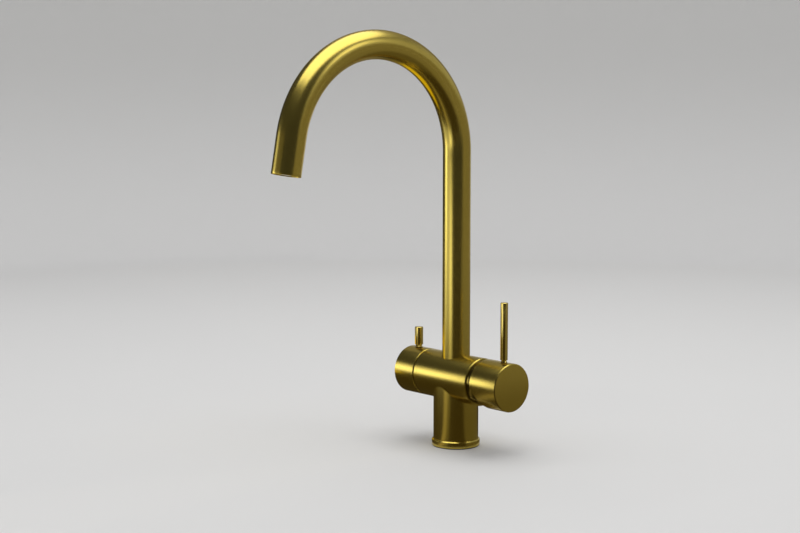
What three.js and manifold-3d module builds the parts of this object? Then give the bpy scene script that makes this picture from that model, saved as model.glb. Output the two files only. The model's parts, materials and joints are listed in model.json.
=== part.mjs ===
// Three way filtered water tap: a single-hole kitchen tap in brushed brass with a swan-neck spout.
// A side lever on the right mixes hot and cold water, and a short lever on the left opens the filtered
// water, which climbs its own narrow tube inside the spout and never meets the mixed water.
//
// Millimetres. The origin is the centre of the base on top of the deck, +Z is up, the barrel lies
// along X with the mixer at +X, and the spout reaches towards -Y, over the sink.
import * as THREE from 'three';
import { mergeVertices } from 'three/addons/utils/BufferGeometryUtils.js';
import Module from 'manifold-3d';

const wasm = await Module();
wasm.setup();

// ---------------------------------------------------------------- clearances

const seat = 0.1; // between faces that rest on each other
const fit = 0.2; // radial, between a turned piece and the bore it sits or runs in
const screwFit = 0.15; // radial, between a screw thread and its hole
const overcut = 2; // how far a cutting tool runs past the surface it opens

// ---------------------------------------------------------------- facets round a full turn

const outsideFacets = 40; // the outer surfaces
const insideFacets = 18; // pieces and bores out of sight
const spigotFacets = 14; // the spout's spigot and the nozzle
const ringFacets = [5, 16]; // an O-ring, round its section and round its seat
const smallFacets = 8; // screws, ports and waterways
const pinFacets = 12; // the cartridge's pin, its holes and the ball of the spindle
const archFacets = 18; // along the bend of the spout
const shroudSteps = 4; // along the dome of the cartridge's shroud
const channelSteps = 6; // along the cored channel
const notchFacets = 6; // along each curve of the notch in the moving disc

// ---------------------------------------------------------------- driving dimensions

// Column and barrel, cast and turned in one piece
const columnRadius = 22.7;
const barrelRadius = 23.9;
const barrelAxisHeight = 69.6;
const edgeChamfer = 0.8;

// Base ring and gasket, on top of the deck
const baseRingRadius = 24.3;
const baseRingTop = 7.6;
const baseRingChamfer = 1.1;
const baseRingFlange = 1.6;
const gasketThickness = 0.8;
const gasketSetback = 0.7;

// Shank and what clamps it under the deck
const deckThickness = 20;
const shankRadius = 16;
const shankWall = 2.2;
const shankTop = 14;
const shankBottom = -62;
const rubberWasherRadius = 24;
const rubberWasherThickness = 3;
const clampWasherRadius = 26;
const clampWasherThickness = 2;
const lockNutFlats = 41;
const lockNutHeight = 8;

// Water inlets, screwed into the bulkhead inside the column
const bulkheadBottom = 22;
const inletThreadRadius = 4.9;
const inletThreadLength = 10;
const inletBoreRadius = 3;
const inletHexFlats = 10.5;
const inletHexHeight = 5;
const inletPitchRadius = 7.4;
const waterwayRadius = 2.8;

// Spout: one tube, straight up, round a swan neck and down to the outlet
const tubeRadius = 14;
const tubeWall = 1.2;
const archStartHeight = 296.9;
const archRadius = 103.2;
const archAngle = THREE.MathUtils.degToRad(169.7);
const outletStraight = 35.8;

// Spout connector, the spigot that turns in the barrel
const spigotRadius = 11.2;
const spigotBoreRadius = 8;
const spigotLand = 0.4;
const spigotFlange = 1.6;
const spigotPlugLength = 9;
const waistWidth = 3;
const waistDepth = 1;
const tubeSeatDepth = 1.6;
const glideRingThickness = 0.8;
const oRingSection = 1.7;
const oRingPlay = 0.5;
const spoutScrewRadius = 1.9;
const spoutScrewPoint = 0.7;
const spoutScrewDepth = 1.3;
const spoutScrewSetback = 1.2;
const spoutScrewKey = 1.1;

// Filtered water tube inside the spout
const innerTubeRadius = 4;
const innerTubeWall = 1.2;

// Outlet: aerator for the mixed water round a nozzle for the filtered water
const aeratorRecess = 1;
const aeratorLength = 12;
const aeratorWall = 1.5;
const aeratorLip = 1.1;
const aeratorLipReach = 0.8;
const aeratorInsertDepth = 7;
const aeratorInsertRim = 1.2;
const aeratorSlots = 14;
const aeratorSlotWidth = 1.3;
const nozzleRadius = 5.4;
const nozzleBoreRadius = 2.9;
const nozzleSocketDepth = 6;
const nozzleStandOut = 0.4;
const nozzleChamfer = 0.6;
const outletSealThickness = 2;
const outletSealWidth = 3.4;

// Bores in the barrel, one from either end
const boreDepth = 23.1;
const boreFloorWall = 1.4; // between the floor of a bore and the spout's socket
const portRadius = 2.1;

// Mixing cartridge, 35 mm pattern. Distances along the barrel are measured from its end.
const cartridgeRadius = 17.4;
const cartridgeWall = 1.6;
const supplyPortDrop = 5.6;
const cartridgeSealThickness = 1.3;
const cartridgeSealSetback = 0.6;
const cartridgeBaseThickness = 3.2;
const fixedDiscThickness = 3.3;
const movingDiscThickness = 3.2;
const discPlay = 0.2; // left beside the moving disc at the end of its travel
const discHubRadius = 3;
const discNotchAngle = THREE.MathUtils.degToRad(68); // to either side of straight up
const sliderThickness = 4;
const cartridgeNeckRadius = 12.6;
const cartridgeNeckEnd = 7.3;
const cartridgeShoulder = -2.7;
const rotorRadius = 10.2;
const nutThreadRadius = 18.6;
const nutFlats = 32;
const nutFlange = 0.5;
const nutEnd = 5.3;

// Tilting spindle of the cartridge
const tiltLimit = THREE.MathUtils.degToRad(25);
const pivotDistance = 1.3;
const pinRadius = 1.5;
const pinSetback = 0.6;
const pinFit = 0.12;
const ballFit = 0.3;
const rotorSetback = 0.5;
const spindleHubWidth = 9;
const spindleHubDepth = 8;
const spindleHubHalfLength = 6;
const spindleSquare = 8;
const spindleEnd = 34.3;
const spindleArmRadius = 1.8;
const spindleBallRadius = 2.1;
const spindleArmLength = 10.6;

// Domed shroud over the cartridge nut, seen in the gap behind the mixer knob
const shroudRadius = 22.4;
const shroudWall = 1.2;
const shroudEnd = 17.3;
const shroudOpeningRadius = 12.8;

// Knobs and levers
const knobRadius = 23.9;
const knobRimChamfer = 0.5;
const knobEndChamfer = 0.8;
const mixerKnobGap = 5.4;
const mixerKnobEnd = 41.2;
const mixerCupEnd = 25.3;
const mixerRimSlant = THREE.MathUtils.degToRad(28); // a little more than the knob tilts
const mixerLeverDistance = 29.8;
const mixerLeverRadius = 3.7;
const mixerLeverTop = 82.8;
const mixerKnobWall = 1.2;
const filterKnobGap = 0.9;
const filterKnobEnd = 29.4;
const filterCupEnd = 13.8;
const filterKnobWall = 3.5;
const filterLeverDistance = 17.8;
const filterLeverRadius = 4.3;
const filterLeverTop = 44.8;
const leverFootChamfer = 1.3;
const leverTipChamfer = 0.5;
const leverFacets = 20;
const leverStudRadius = 2.4;
const leverStudDepth = 12;
const drillPoint = 0.5; // how much deeper than the stud its hole is
const grubScrewRadius = 2.4;
const grubScrewLength = 8;
const grubScrewKey = 1.3;
const keySocketDepth = 2.5;
const plugThickness = 2.4;
const plugSetback = 0.3;
const plugChamfer = 0.4;
const squareSocketDepth = 9.7;
const splineSocketDepth = 10;

// Filtered water valve, a quarter turn headwork screwed into the left of the barrel
const valveThreadRadius = 10.3;
const valveSkirtRadius = 8.4;
const valveSkirtWall = 1.5;
const valveSkirtEnd = -10.7;
const valveSkirtRoof = 0.8;
const valveWindowWidth = 7;
const valveHexFlats = 22;
const valveHexHeight = 5.5;
const valveNeckRadius = 7;
const valveNeckEnd = 11.3;
const valveSealThickness = 1.7;
const valveSealWidth = 3.8;
const valveDiscThickness = 2.5;
const valvePortRadius = 1.9;
const valvePortPitch = 3.7;
const valveStemRadius = 4;
const valveStemEnd = 22.3;
const valveFootThickness = 1.5;
const splineTeeth = 20;
const splineDepth = 0.4;
const splineStart = 12.3;
const splineRelief = 1;

// ---------------------------------------------------------------- finishes

function finish(color, roughness, metalness) {
  return new THREE.MeshStandardMaterial({ color, roughness, metalness });
}
const brushedBrass = finish(0xb59a45, 0.34, 1);
const polishedBrass = finish(0xc2a650, 0.2, 1);
const rawBrass = finish(0xb08d4a, 0.45, 1);
const steel = finish(0xb8b8b6, 0.35, 1);
const rubber = finish(0x1c1c1c, 0.85, 0);
const darkPlastic = finish(0x3a3d40, 0.55, 0);
const whitePlastic = finish(0xe4e2da, 0.5, 0);
const ceramic = finish(0xf1efe9, 0.25, 0);

// ---------------------------------------------------------------- solids and booleans

function toSolid(geometry) {
  const bare = geometry.clone();
  bare.deleteAttribute('normal');
  bare.deleteAttribute('uv');
  const welded = mergeVertices(bare, 1e-4);
  return new wasm.Manifold(new wasm.Mesh({
    numProp: 3,
    vertProperties: new Float32Array(welded.attributes.position.array),
    triVerts: new Uint32Array(welded.index.array),
  }));
}

function toGeometry(solid) {
  const mesh = solid.getMesh();
  const geometry = new THREE.BufferGeometry();
  geometry.setAttribute('position', new THREE.BufferAttribute(mesh.vertProperties, 3));
  geometry.setIndex(new THREE.BufferAttribute(mesh.triVerts, 1));
  return geometry;
}

// One piece of stock, with other pieces joined on and tools cut out
function machine(stock, { joined = [], cuts = [] }) {
  let solid = toSolid(stock);
  for (const piece of joined) {
    solid = solid.add(toSolid(piece));
  }
  for (const tool of cuts) {
    solid = solid.subtract(toSolid(tool));
  }
  return toGeometry(solid);
}

// What two shapes share, such as a hexagon and the cones that break its corners
function common(first, second) {
  return toGeometry(toSolid(first).intersect(toSolid(second)));
}

// ---------------------------------------------------------------- turned and milled shapes

// A revolve about Z. The profile lists [radius, z] anticlockwise: out along the bottom, up, and back in.
function turned(profile, sides = insideFacets) {
  const points = profile.map(([radius, z]) => new THREE.Vector2(radius, z));
  return new THREE.LatheGeometry(points, sides).rotateX(Math.PI / 2);
}

// Points round a circle, for the outline of a swept section
function circle(radius, sides) {
  const points = [];
  for (let side = 0; side < sides; side += 1) {
    const angle = (side * 2 * Math.PI) / sides;
    points.push(new THREE.Vector2(radius * Math.cos(angle), radius * Math.sin(angle)));
  }
  return points;
}

function rod(radius, from, to, sides = insideFacets) {
  return turned([[0, from], [radius, from], [radius, to], [0, to]], sides);
}

// A cutting rod whose flats touch its circle from outside, so a round piece of that size always fits
function drill(radius, from, to, sides = insideFacets) {
  return rod(radius / Math.cos(Math.PI / sides), from, to, sides);
}

function ring(inner, outer, from, to, sides = insideFacets) {
  return turned([[inner, from], [outer, from], [outer, to], [inner, to], [inner, from]], sides);
}

function oRing(seatRadius, height) {
  const section = oRingSection / 2;
  const [roundSection, roundSeat] = ringFacets;
  return new THREE.TorusGeometry(seatRadius + section, section, roundSection, roundSeat)
    .translate(0, 0, height);
}

function block(width, depth, from, to) {
  return new THREE.BoxGeometry(width, depth, to - from).translate(0, 0, (from + to) / 2);
}

// A hexagon across its flats, with corners broken by a cone at each end over this share of their height
const hexagonBreak = 0.6;
function hexagon(flats, from, to) {
  const cornerRadius = flats / 2 / Math.cos(Math.PI / 6);
  const cornerBreak = (cornerRadius - flats / 2) * hexagonBreak;
  const prism = new THREE.CylinderGeometry(cornerRadius, cornerRadius, to - from, 6)
    .rotateX(Math.PI / 2)
    .translate(0, 0, (from + to) / 2);
  const outer = cornerRadius + seat;
  const cones = turned([
    [0, from], [cornerRadius - cornerBreak, from], [outer, from + cornerBreak],
    [outer, to - cornerBreak], [cornerRadius - cornerBreak, to], [0, to],
  ]);
  return common(prism, cones);
}

// The hexagonal socket for a key, cut into a screw's head
function keySocket(radius, head) {
  return new THREE.CylinderGeometry(radius, radius, 2 * keySocketDepth, 6)
    .rotateX(Math.PI / 2)
    .translate(0, 0, head);
}

// Shapes made along Z are laid along X or Y. In the frame of a barrel's side, X is up.
const alongX = (geometry) => geometry.rotateY(Math.PI / 2);
const againstX = (geometry) => geometry.rotateY(-Math.PI / 2);
const alongY = (geometry) => geometry.rotateX(-Math.PI / 2);

// ---------------------------------------------------------------- assembly

const tap = new THREE.Group();

function place(parent, name, geometry, material) {
  const mesh = new THREE.Mesh(geometry, material);
  mesh.name = name;
  parent.add(mesh);
  return mesh;
}

// ---------------------------------------------------------------- places worked out from the sizes

const footSeat = gasketThickness + seat + baseRingFlange + seat; // underside of the column
const tubeSocketRadius = tubeRadius + fit;
const spigotSocketRadius = spigotRadius + fit;
// The lowest point of the curve where the upright tube enters the round barrel
const saddleLow = barrelAxisHeight + Math.sqrt(barrelRadius ** 2 - tubeSocketRadius ** 2);
const tubeFoot = saddleLow - tubeSeatDepth;
const socketShoulder = tubeFoot - glideRingThickness - 2 * seat;
const oRingSeatRadius = spigotSocketRadius - seat - oRingSection;
const oRingGroove = oRingSection + oRingPlay;
const screwGroove = 2 * (spoutScrewPoint + 3 * fit);
const screwGrooveHeight = socketShoulder - spoutScrewRadius - spigotLand;
const upperRingHeight = screwGrooveHeight - (screwGroove + oRingGroove) / 2 - spigotLand;
const mixedPortHeight = upperRingHeight - (oRingGroove + waistWidth) / 2 - spigotLand;
const lowerRingHeight = mixedPortHeight - (waistWidth + oRingGroove) / 2 - spigotLand;
const spigotBottom = lowerRingHeight - oRingGroove / 2 - spigotLand;
const socketFloor = spigotBottom - 4 * seat;
// From the column's axis to the floor of a bore, and on to the barrel's end
const boreFloor = tubeSocketRadius + boreFloorWall;
const barrelHalfLength = boreFloor + boreDepth;

// A frame at one end of the barrel, on its axis, whose Z points outwards and whose X points up
function barrelSide(outward) {
  const side = new THREE.Group();
  const up = new THREE.Vector3(0, 0, 1);
  const across = new THREE.Vector3().crossVectors(outward, up);
  side.quaternion.setFromRotationMatrix(new THREE.Matrix4().makeBasis(up, across, outward));
  side.position.copy(outward).multiplyScalar(barrelHalfLength);
  side.position.z = barrelAxisHeight;
  tap.add(side);
  return side;
}
const mixerSide = barrelSide(new THREE.Vector3(1, 0, 0));
const filterSide = barrelSide(new THREE.Vector3(-1, 0, 0));

// Ports in the cartridge's end, as [up, across] from the barrel axis
const inletAngle = Math.PI / 3;
const hotPlace = [inletPitchRadius * Math.cos(inletAngle), inletPitchRadius * Math.sin(inletAngle)];
const coldPlace = [hotPlace[0], -hotPlace[1]];
const filteredPlace = [-inletPitchRadius, 0];
const cartridgePorts = [
  [-supplyPortDrop, hotPlace[1]],
  [-supplyPortDrop, coldPlace[1]],
  [mixedPortHeight - barrelAxisHeight, 0],
];

// Stack of the cartridge, from the floor of its bore outwards
const cartridgeSealStart = -boreDepth + seat;
const cartridgeBaseStart = cartridgeSealStart + cartridgeSealThickness + seat;
const fixedDiscStart = cartridgeBaseStart + cartridgeBaseThickness + seat;
const movingDiscStart = fixedDiscStart + fixedDiscThickness + seat;
const sliderStart = movingDiscStart + movingDiscThickness + seat;
const rotorStart = sliderStart + sliderThickness + 3 * seat;
const discChamberRadius = cartridgeRadius - cartridgeWall;
const discTravel = spindleArmLength * Math.sin(tiltLimit);
const movingDiscRadius = discChamberRadius - discTravel - discPlay;

// Stack of the filtered water valve
const valveSealStart = -boreDepth + seat;
const valveStart = valveSealStart + valveSealThickness + seat;
const valveDiscStart = valveStart + 2 * seat;
const valveMovingDiscStart = valveDiscStart + valveDiscThickness + seat;
const valveFootStart = valveMovingDiscStart + valveDiscThickness + seat;
const valveWindowStart = valveFootStart + valveFootThickness + 2 * seat;
const valveDiscRadius = valveSkirtRadius - valveSkirtWall - fit;
const valveBoreRadius = valveThreadRadius + screwFit;

// ---------------------------------------------------------------- body casting

// The column and the barrel meet in a crisp saddle. Bores enter from four sides: the shank from below,
// the spout from above, the cartridge from the right and the filter valve from the left. Waterways
// join them: two risers turn into the cartridge's floor, a port feeds the spout's waist, and a cored
// channel bends out to the chamber round the filter valve, which empties through its seat.
function bodyCasting() {
  const column = rod(columnRadius, footSeat, barrelAxisHeight, outsideFacets);
  const barrel = alongX(turned([
    [0, -barrelHalfLength], [barrelRadius - edgeChamfer, -barrelHalfLength],
    [barrelRadius, -barrelHalfLength + edgeChamfer], [barrelRadius, barrelHalfLength - edgeChamfer],
    [barrelRadius - edgeChamfer, barrelHalfLength], [0, barrelHalfLength],
  ], outsideFacets)).translate(0, 0, barrelAxisHeight);

  const barrelTop = barrelAxisHeight + barrelRadius;
  const shankSocket = drill(shankRadius + screwFit, footSeat - overcut, shankTop + fit);
  const cavity = drill(shankRadius - shankWall + fit, footSeat - overcut, bulkheadBottom);
  const spigotSocket = drill(spigotSocketRadius, socketFloor, socketShoulder + overcut, outsideFacets);
  const tubeSocket = drill(tubeSocketRadius, socketShoulder, barrelTop + overcut, outsideFacets);
  const screwHole = alongY(
    drill(spoutScrewRadius + screwFit, spigotRadius - overcut, barrelRadius, smallFacets))
    .translate(0, 0, screwGrooveHeight);

  const cartridgeBore = alongX(drill(cartridgeRadius + fit, boreFloor, barrelHalfLength + overcut));
  const nutThread = alongX(drill(
    nutThreadRadius + screwFit, barrelHalfLength + cartridgeShoulder, barrelHalfLength + overcut));
  const valveBore = againstX(drill(valveBoreRadius, boreFloor, barrelHalfLength + overcut));

  const threadTop = bulkheadBottom + inletThreadLength;
  const inletSockets = [hotPlace, coldPlace, filteredPlace].map(([x, y]) =>
    drill(inletThreadRadius + screwFit, bulkheadBottom - overcut, threadTop, smallFacets)
      .translate(x, y, 0));
  const riserStart = threadTop - overcut;
  const riserTop = barrelAxisHeight - supplyPortDrop + waterwayRadius;
  const risers = [hotPlace, coldPlace].map(([x, y]) =>
    drill(waterwayRadius, riserStart, riserTop, smallFacets).translate(x, y, 0));
  const portDrillings = cartridgePorts.map(([up, across], index) => {
    const start = index < 2 ? hotPlace[0] : spigotSocketRadius - overcut;
    return alongX(drill(portRadius, start, boreFloor + overcut, smallFacets)).translate(0, across, up);
  });
  const filteredRadius = innerTubeRadius - innerTubeWall;
  const filteredDown = drill(filteredRadius, barrelAxisHeight, socketFloor + overcut, smallFacets);
  const filteredAcross = againstX(drill(filteredRadius, 0, boreFloor + overcut, smallFacets));

  const onAxis = [cartridgeBore, nutThread, valveBore, ...portDrillings, filteredAcross];
  for (const tool of onAxis) {
    tool.translate(0, 0, barrelAxisHeight);
  }
  return machine(column, {
    joined: [barrel],
    cuts: [
      shankSocket, cavity, spigotSocket, tubeSocket, screwHole,
      ...inletSockets, ...risers, filteredDown, coredChannel(riserStart), ...onAxis,
    ],
  });
}

// The core that carries filtered water from its inlet to the chamber round the valve
function coredChannel(startHeight) {
  const inletX = filteredPlace[0];
  const chamberX = -(boreFloor + waterwayRadius + 3 * seat);
  const chamberHeight = barrelAxisHeight - valveBoreRadius + overcut;
  const easing = (chamberHeight - startHeight) / 2;
  const route = new THREE.CubicBezierCurve3(
    new THREE.Vector3(inletX, 0, startHeight),
    new THREE.Vector3(inletX, 0, startHeight + easing),
    new THREE.Vector3(chamberX, 0, chamberHeight - easing),
    new THREE.Vector3(chamberX, 0, chamberHeight),
  );
  const section = new THREE.Shape(circle(waterwayRadius, smallFacets));
  return new THREE.ExtrudeGeometry(section, { extrudePath: route, steps: channelSteps });
}

place(tap, 'body_casting', bodyCasting(), brushedBrass);

// ---------------------------------------------------------------- base and shank

function baseRing() {
  const bottom = gasketThickness + seat;
  const columnFit = columnRadius + fit;
  return turned([
    [shankRadius + 2 * fit, bottom], [baseRingRadius, bottom],
    [baseRingRadius, baseRingTop - baseRingChamfer], [baseRingRadius - baseRingChamfer, baseRingTop],
    [columnFit, baseRingTop], [columnFit, bottom + baseRingFlange],
    [shankRadius + 2 * fit, bottom + baseRingFlange], [shankRadius + 2 * fit, bottom],
  ], outsideFacets);
}

const hardwareBore = shankRadius + 2 * fit;
const rubberWasherTop = -deckThickness;
const clampWasherTop = rubberWasherTop - rubberWasherThickness - seat;
const lockNutTop = clampWasherTop - clampWasherThickness - seat;

function lockNut() {
  return machine(hexagon(lockNutFlats, lockNutTop - lockNutHeight, lockNutTop), {
    cuts: [drill(shankRadius + screwFit, lockNutTop - lockNutHeight - overcut, lockNutTop + overcut)],
  });
}

place(tap, 'base_ring', baseRing(), brushedBrass);
place(tap, 'base_gasket',
  ring(hardwareBore, baseRingRadius - gasketSetback, 0, gasketThickness, outsideFacets), rubber);
place(tap, 'threaded_shank',
  ring(shankRadius - shankWall, shankRadius, shankBottom, shankTop), rawBrass);
place(tap, 'rubber_washer',
  ring(hardwareBore, rubberWasherRadius, rubberWasherTop - rubberWasherThickness, rubberWasherTop), rubber);
place(tap, 'clamp_washer',
  ring(hardwareBore, clampWasherRadius, clampWasherTop - clampWasherThickness, clampWasherTop), steel);
place(tap, 'lock_nut', lockNut(), rawBrass);

// ---------------------------------------------------------------- inlets

// A nipple whose thread fills the socket and whose hexagon seats under the bulkhead
function inlet() {
  const hexTop = bulkheadBottom - seat;
  const threadTop = bulkheadBottom + inletThreadLength - seat;
  return machine(hexagon(inletHexFlats, hexTop - inletHexHeight, hexTop), {
    joined: [rod(inletThreadRadius, hexTop - inletHexHeight / 2, threadTop, smallFacets)],
    cuts: [drill(inletBoreRadius, hexTop - inletHexHeight - overcut, threadTop + overcut, smallFacets)],
  });
}

const inlets = { hot_inlet: hotPlace, cold_inlet: coldPlace, filtered_inlet: filteredPlace };
for (const [name, [x, y]] of Object.entries(inlets)) {
  place(tap, name, inlet(), rawBrass).position.set(x, y, 0);
}

// ---------------------------------------------------------------- spout

// The centreline of the spout in the YZ plane, in equal turns round the arch. A straight stretch at
// either end is one step, so the parameter isn't the arc length.
class SpoutCentreline extends THREE.Curve {
  constructor(foot, archSteps, endCut) {
    super();
    this.foot = foot;
    this.archSteps = archSteps;
    this.endLength = outletStraight - endCut;
    this.steps = archSteps + 2;
  }

  turnAt(t) {
    return archAngle * THREE.MathUtils.clamp((t * this.steps - 1) / this.archSteps, 0, 1);
  }

  getPoint(t, target = new THREE.Vector3()) {
    const turn = this.turnAt(t);
    const upright = Math.min(t * this.steps, 1);
    const pastArch = Math.max(t * this.steps - 1 - this.archSteps, 0) * this.endLength;
    target.set(0, -archRadius * (1 - Math.cos(turn)), archStartHeight + archRadius * Math.sin(turn));
    target.z -= (1 - upright) * (archStartHeight - this.foot);
    return target.addScaledVector(this.getTangent(t), pastArch);
  }

  getTangent(t, target = new THREE.Vector3()) {
    const turn = this.turnAt(t);
    return target.set(0, -Math.sin(turn), Math.cos(turn));
  }

  getUtoTmapping(u) {
    return u;
  }
}

// A pipe swept along the spout, stopping short of the outlet by endCut
function spoutPipe({ outer, wall, foot, outsideSides, insideSides, endCut = 0 }) {
  const path = new SpoutCentreline(foot, archFacets, endCut);
  const section = new THREE.Shape(circle(outer, outsideSides));
  const boreCorner = (outer - wall) / Math.cos(Math.PI / insideSides);
  section.holes.push(new THREE.Path(circle(boreCorner, insideSides)));
  return new THREE.ExtrudeGeometry(section, { extrudePath: path, steps: path.steps });
}

// The spigot from below: a pocket for the inner tube's seal, a groove for the lower ring, a waist where
// mixed water enters, a groove for the upper ring, a groove that the rear screw rides in, and a plug
// that is brazed into the tube.
function spoutConnector() {
  const plugRadius = tubeRadius - tubeWall - screwFit;
  const sealPocket = innerTubeRadius + oRingSection + 2 * screwFit;
  const pocketTop = spigotBottom + oRingGroove;
  const flangeTop = pocketTop + spigotFlange;
  const ringGrooveDepth = spigotRadius - oRingSeatRadius + seat;
  const grooves = [
    [lowerRingHeight, oRingGroove, ringGrooveDepth],
    [mixedPortHeight, waistWidth, waistDepth],
    [upperRingHeight, oRingGroove, ringGrooveDepth],
    [screwGrooveHeight, screwGroove, spoutScrewDepth],
  ];
  const outside = grooves.flatMap(([height, width, depth]) => [
    [spigotRadius, height - width / 2], [spigotRadius - depth, height - width / 2],
    [spigotRadius - depth, height + width / 2], [spigotRadius, height + width / 2],
  ]);
  const turnedPart = turned([
    [sealPocket, spigotBottom], [spigotRadius, spigotBottom], ...outside,
    [spigotRadius, tubeFoot], [plugRadius, tubeFoot], [plugRadius, tubeFoot + spigotPlugLength],
    [spigotBoreRadius, tubeFoot + spigotPlugLength], [spigotBoreRadius, flangeTop],
    [innerTubeRadius + fit, flangeTop], [innerTubeRadius + fit, pocketTop],
    [sealPocket, pocketTop], [sealPocket, spigotBottom],
  ], spigotFacets);
  const reach = spigotRadius + overcut;
  const crossHole = drill(waistWidth / 2 - seat, -reach, reach, smallFacets);
  const crossHoles = [alongX(crossHole.clone()), alongY(crossHole.clone())];
  for (const hole of crossHoles) {
    hole.translate(0, 0, mixedPortHeight);
  }
  return machine(turnedPart, { cuts: crossHoles });
}

function spoutScrew() {
  const tip = spigotRadius - spoutScrewDepth + 2 * fit;
  const pointEnd = spigotSocketRadius + 1;
  const barrelWall = Math.sqrt(barrelRadius ** 2 - (screwGrooveHeight - barrelAxisHeight) ** 2);
  const head = barrelWall - spoutScrewSetback;
  const shape = turned([
    [0, tip], [spoutScrewPoint, tip], [spoutScrewPoint, pointEnd],
    [spoutScrewRadius, pointEnd + 1], [spoutScrewRadius, head], [0, head],
  ], smallFacets);
  return alongY(machine(shape, { cuts: [keySocket(spoutScrewKey, head)] }))
    .translate(0, 0, screwGrooveHeight);
}

place(tap, 'spout_tube', spoutPipe({
  outer: tubeRadius, wall: tubeWall, foot: tubeFoot, outsideSides: 30, insideSides: 14,
}), brushedBrass);
place(tap, 'spout_connector', spoutConnector(), rawBrass);
place(tap, 'spout_o_ring_lower', oRing(oRingSeatRadius, lowerRingHeight), rubber);
place(tap, 'spout_o_ring_upper', oRing(oRingSeatRadius, upperRingHeight), rubber);
place(tap, 'spout_glide_ring', ring(
  spigotRadius + fit, tubeRadius - seat, socketShoulder + seat, tubeFoot - seat), whitePlastic);
place(tap, 'spout_retaining_screw', spoutScrew(), steel);

// ---------------------------------------------------------------- outlet

const nozzleSocketRadius = innerTubeRadius + screwFit;
const nozzleTop = -(aeratorRecess + aeratorLength);
const innerTubeEnd = -nozzleTop - nozzleSocketDepth + seat;
place(tap, 'filtered_water_tube', spoutPipe({
  outer: innerTubeRadius, wall: innerTubeWall, foot: spigotBottom + seat,
  outsideSides: 8, insideSides: 6, endCut: innerTubeEnd,
}), whitePlastic);
place(tap, 'filtered_tube_seal',
  oRing(innerTubeRadius + fit / 2, spigotBottom + oRingGroove / 2 + seat), rubber);

// A frame at the centre of the tube's cut end, with Z the way the water leaves
const outlet = new THREE.Group();
const centreline = new SpoutCentreline(tubeFoot, archFacets, 0);
outlet.position.copy(centreline.getPoint(1));
outlet.quaternion.setFromUnitVectors(new THREE.Vector3(0, 0, 1), centreline.getTangent(1));
tap.add(outlet);

const housingRadius = tubeRadius - tubeWall - screwFit;
const insertRadius = housingRadius - aeratorWall - screwFit;
const insertStart = -(aeratorRecess + aeratorLip + seat) - aeratorInsertDepth;

function aeratorHousing() {
  const lipTop = -aeratorRecess - aeratorLip;
  const lipRadius = insertRadius - aeratorLipReach;
  const inside = housingRadius - aeratorWall;
  return turned([
    [inside, nozzleTop], [housingRadius, nozzleTop], [housingRadius, -aeratorRecess],
    [lipRadius, -aeratorRecess], [lipRadius, lipTop], [inside, lipTop], [inside, nozzleTop],
  ]);
}

// The insert fills the space between the housing and the nozzle, with radial slots that part the flow
function aeratorInsert() {
  const insertEnd = insertStart + aeratorInsertDepth;
  const slotInner = nozzleRadius + aeratorInsertRim;
  const slotOuter = insertRadius - aeratorInsertRim;
  const slots = [];
  for (let index = 0; index < aeratorSlots; index += 1) {
    const slot = block(slotOuter - slotInner, aeratorSlotWidth, insertStart - overcut, insertEnd + overcut);
    slot.translate((slotInner + slotOuter) / 2, 0, 0);
    slots.push(slot.rotateZ((index * 2 * Math.PI) / aeratorSlots));
  }
  return machine(ring(nozzleRadius + screwFit, insertRadius, insertStart, insertEnd), { cuts: slots });
}

function filteredNozzle() {
  const tip = -aeratorRecess + nozzleStandOut;
  const socketEnd = nozzleTop + nozzleSocketDepth;
  return turned([
    [nozzleSocketRadius, nozzleTop], [nozzleRadius, nozzleTop], [nozzleRadius, tip - nozzleChamfer],
    [nozzleRadius - nozzleChamfer, tip], [nozzleBoreRadius, tip], [nozzleBoreRadius, socketEnd],
    [nozzleSocketRadius, socketEnd], [nozzleSocketRadius, nozzleTop],
  ], spigotFacets);
}

place(outlet, 'aerator_housing', aeratorHousing(), rawBrass);
place(outlet, 'aerator_insert', aeratorInsert(), whitePlastic);
place(outlet, 'filtered_nozzle', filteredNozzle(), whitePlastic);
const outletSealEnd = nozzleTop - seat;
place(outlet, 'aerator_seal', ring(
  housingRadius - outletSealWidth, housingRadius, outletSealEnd - outletSealThickness, outletSealEnd),
rubber);

// ---------------------------------------------------------------- mixing cartridge

// A round plate with the cartridge's three ports through it
function portedPlate(radius, from, thickness, holeRadius) {
  const holes = cartridgePorts.map(([up, across]) =>
    drill(holeRadius, from - overcut, from + thickness + overcut, smallFacets).translate(up, -across, 0));
  return machine(rod(radius, from, from + thickness), { cuts: holes });
}

function cartridgeShell() {
  const chamberEnd = rotorStart - seat;
  return turned([
    [discChamberRadius, fixedDiscStart], [cartridgeRadius, fixedDiscStart],
    [cartridgeRadius, cartridgeShoulder], [cartridgeNeckRadius, cartridgeShoulder],
    [cartridgeNeckRadius, cartridgeNeckEnd], [rotorRadius + fit, cartridgeNeckEnd],
    [rotorRadius + fit, chamberEnd], [discChamberRadius, chamberEnd], [discChamberRadius, fixedDiscStart],
  ]);
}

// The upper ceramic disc covers both supply ports at rest. As it slides up it bares them, the more of
// one and the less of the other the further it is turned, and the water meets in the chamber round it.
// A notch in its upper half keeps the way to the outlet port open.
function movingDisc() {
  const reach = movingDiscRadius + overcut;
  const notch = new THREE.Shape();
  notch.absarc(0, 0, reach, -discNotchAngle, discNotchAngle);
  notch.absarc(0, 0, discHubRadius, discNotchAngle, -discNotchAngle, true);
  const cutter = new THREE.ExtrudeGeometry(notch, {
    depth: movingDiscThickness + 2 * overcut, curveSegments: notchFacets, bevelEnabled: false,
  });
  return machine(rod(movingDiscRadius, movingDiscStart, movingDiscStart + movingDiscThickness), {
    cuts: [cutter.translate(0, 0, movingDiscStart - overcut)],
  });
}

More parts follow.
